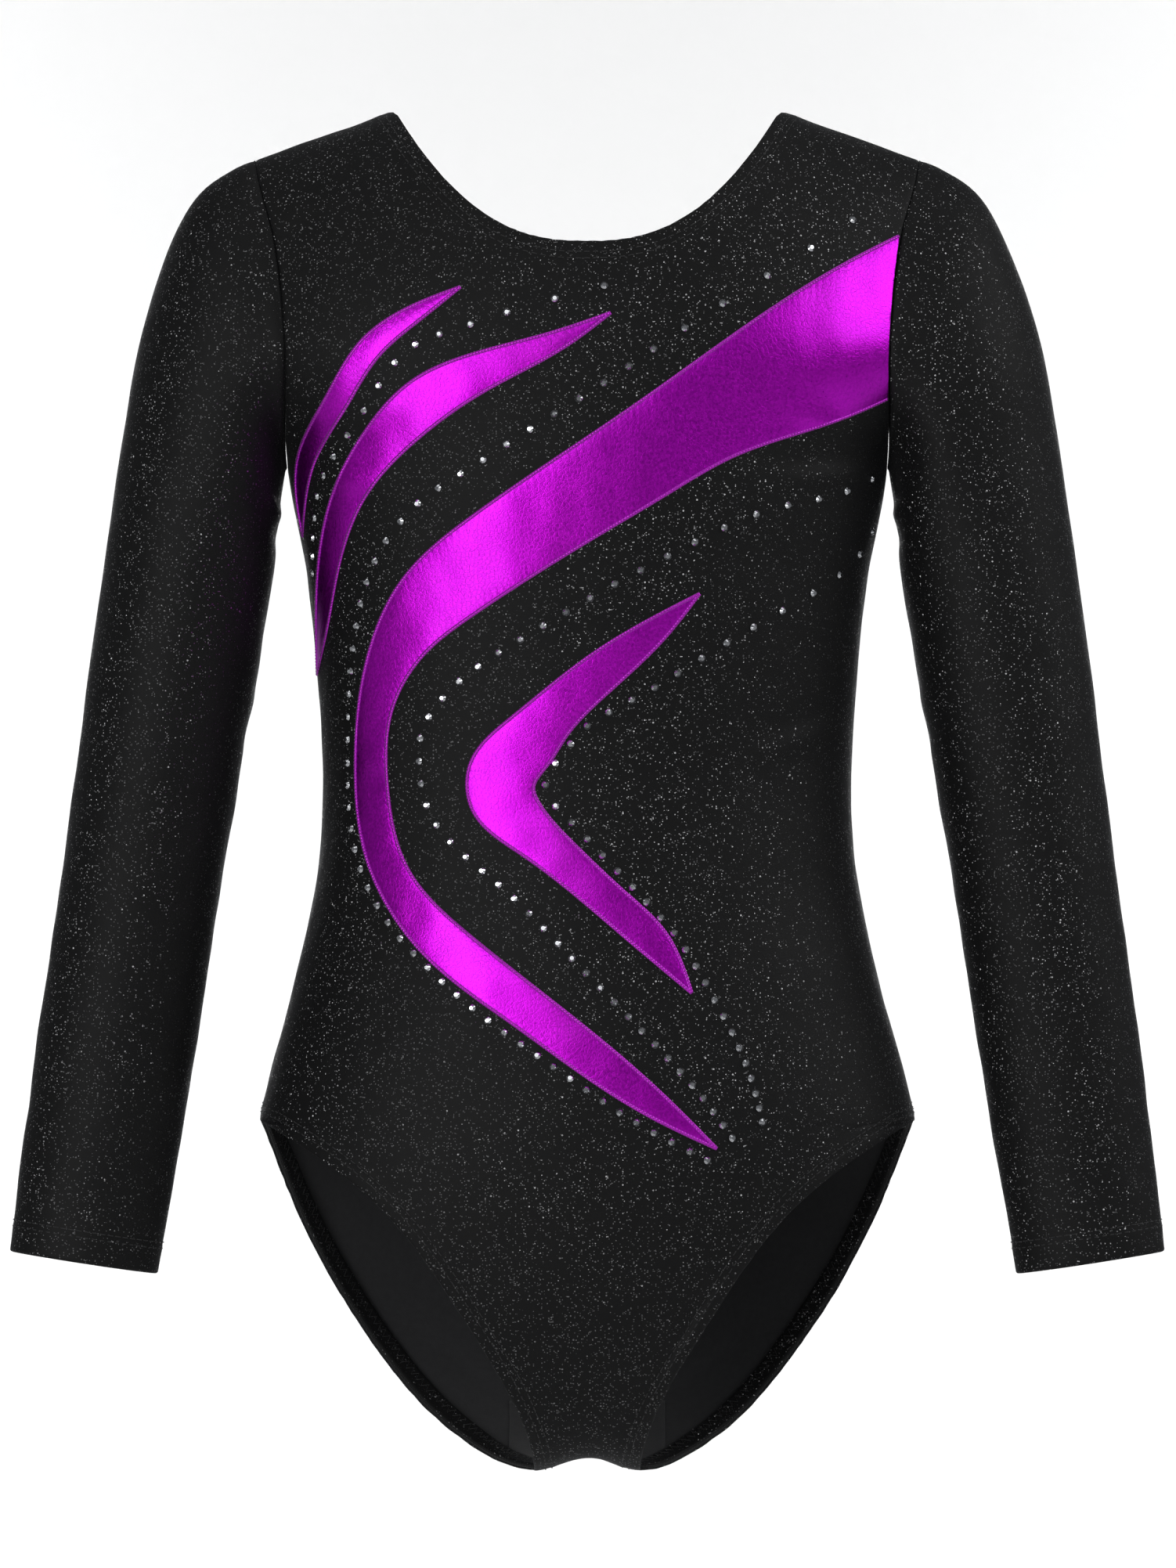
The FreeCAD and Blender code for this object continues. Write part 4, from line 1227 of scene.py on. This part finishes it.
def make_satin(label):
    """Satin stitch over an ornament's edges, a ridge for each stitch."""
    mesh = Mesh()
    for line in ornament_edges(label):
        place, out = front_skin.lay_seen(spaced(line, STITCH_PITCH / 4))
        tangent = unit(np.gradient(place, axis=0))
        aside = unit(np.cross(out, tangent))
        far = travelled(place)
        ridge = np.abs(np.sin(np.pi * far[:, None] / STITCH_PITCH + 0.9 * SATIN[:, 0]))
        across = SATIN[:, 0] * (0.86 + 0.16 * ridge)
        rise = 0.10 + SATIN[:, 1] * (0.62 + 0.42 * ridge)
        mesh.tube(place[:, None] + aside[:, None] * across[..., None] + out[:, None] * rise[..., None])
    return on_torso(mesh, f"{label}_satin_stitch", [PURPLE_THREAD], "purple_thread")


def crown():
    """A rhinestone's points and facets: sixteen round the foot and the girdle, eight round the table."""
    rings = ((FOOT_RADIUS, 16, 0.0), (STONE_RADIUS, 16, GIRDLE_HEIGHT), (TABLE_RADIUS, 8, STONE_HEIGHT))
    points = []
    for radius, count, height in rings:
        turns = full_turn(count)
        points.append(np.stack([radius * np.cos(turns), radius * np.sin(turns), 0 * turns + height], -1))
    facets = {3: [], 4: [], 8: [], 16: []}
    for k in range(16):
        after = (k + 1) % 16
        facets[4].append((k, after, 16 + after, 16 + k))
    for k in range(8):
        here, middle, after = 16 + 2 * k, 16 + 2 * k + 1, 16 + (2 * k + 2) % 16
        table_here, table_after = 32 + k, 32 + (k + 1) % 8
        facets[3].append((here, middle, table_here))
        facets[3].append((middle, after, table_after))
        facets[3].append((middle, table_after, table_here))
    facets[8].append(tuple(range(32, 40)))
    facets[16].append(tuple(range(15, -1, -1)))
    return np.concatenate(points), [np.array(group) for group in facets.values()]


def make_stones(label):
    """A row of rhinestones, each turned and tipped its own way."""
    path, count, known = STONE_ROWS[label]
    random = np.random.default_rng(SEED + len(label) + count)
    gaps = np.interp(np.arange(count - 1), *zip(*known))
    line = smooth_line(path)
    shares = np.concatenate([[0], np.cumsum(gaps)]) / gaps.sum()
    places = read_line(line, shares * travelled(line)[-1])
    points, facets = crown()
    mesh = Mesh()
    for seen in places:
        place, out = front_skin.seen(*seen)
        out = unit(out + random.normal(size=3) * 0.045)
        right = unit(np.cross(out, (0.0, 0.0, 1.0)))
        up = np.cross(out, right)
        turn = random.uniform(0, np.pi / 4)
        first = right * math.cos(turn) + up * math.sin(turn)
        second = np.cross(out, first)
        size = random.uniform(0.97, 1.03)
        base = mesh.count
        mesh.add(place + out * 0.2 + size * (points @ np.stack([first, second, out])))
        for group in facets:
            mesh.faces.append(group + base)
            mesh.marks.append(np.zeros(len(group), int))
    return on_torso(mesh, f"{label}_crystals", [GLASS], "rhinestone", label, smooth=False)


# --- The whole leotard ---

panel_pieces = make_panels()
hems = make_hems()
torso_seams = make_torso_seams()
gusset = make_gusset()
label_piece = make_label()
sleeve_pieces = make_sleeves()
on_front = [make_foil(label) for label in ORNAMENTS]
on_front += [make_satin(label) for label in ORNAMENTS]
on_front += [make_stones(label) for label in STONE_ROWS]


# --- Stage, light and camera ---

def stage_plane(name, corners, material):
    """A flat piece of the studio."""
    data = bpy.data.meshes.new(name)
    data.from_pydata(corners, [], [(0, 1, 2, 3)])
    placed(name, data, material)


def studio():
    """A pale floor well below the leotard and a pale wall behind it."""
    pale = Shader("studio_white", Roughness=0.9, Specular_IOR_Level=0.1)
    pale.surface.inputs["Base Color"].default_value = rgb(0.93, 0.93, 0.93)
    floor, wall, side, near, top = -1.3, 9.6, 9.0, -10.5, 4.0
    for name, first, last in (("floor", (near, floor), (wall, floor)), ("wall", (wall, floor), (wall, top))):
        corners = [(-side, *first), (side, *first), (side, *last), (-side, *last)]
        stage_plane(name, corners, pale.material)


def softbox(name, azimuth, elevation, distance, width, height, radiance):
    """A flat light that faces the leotard. Azimuth 0 is the camera's side, and 90 is the wearer's left."""
    centre = Vector((0, 0, -0.26))
    a, e = math.radians(azimuth), math.radians(elevation)
    way = Vector((math.sin(a) * math.cos(e), -math.cos(a) * math.cos(e), math.sin(e)))
    data = bpy.data.lights.new(name, "AREA")
    data.shape = "RECTANGLE"
    data.size, data.size_y = width, height
    data.energy = radiance * width * height * math.pi
    made = placed(name, data)
    made.location = centre + way * distance
    made.rotation_euler = (-way).to_track_quat("-Z", "Y").to_euler()
    return made


def lights():
    """Soft studio light: a strip to the left, a panel to the right, a fill in front, and the wall's own."""
    softbox("panel_left", -33, 3, 3.2, 1.1, 2.3, 2.3)
    softbox("panel_right", 71, 27, 3.0, 2.9, 1.4, 2.0)
    softbox("fill_front", -20, 18, 9.0, 6.6, 3.6, 0.95)
    softbox("top", 0, 80, 2.6, 2.2, 1.6, 0.7)
    for x in (-2.6, 2.6):
        wash = softbox(f"wall_wash_{'left' if x < 0 else 'right'}", 0, 0, 1.0, 1.2, 2.6, 7.5)
        wash.location = (x, 8.3, 0.1)
        wash.rotation_euler = Vector((-0.55 * x / 2.6, 1.0, 0.0)).to_track_quat("-Z", "Z").to_euler()
    world = bpy.data.worlds.new("studio")
    bpy.context.scene.world = world
    world.use_nodes = True
    background = world.node_tree.nodes["Background"]
    background.inputs["Color"].default_value = rgb(0.9, 0.92, 0.95)
    background.inputs["Strength"].default_value = 0.15


def camera():
    """A long lens straight in front, with the leotard's whole height in view."""
    data = bpy.data.cameras.new("camera")
    data.lens = 416.0
    data.sensor_width = 36.0
    data.clip_end = 60.0
    made = placed("camera", data)
    made.location = (0.0003, -7.0, -0.2594)
    made.rotation_euler = (math.pi / 2, 0, 0)
    bpy.context.scene.camera = made


studio()
lights()
camera()
bpy.context.scene.view_settings.view_transform = "Standard"
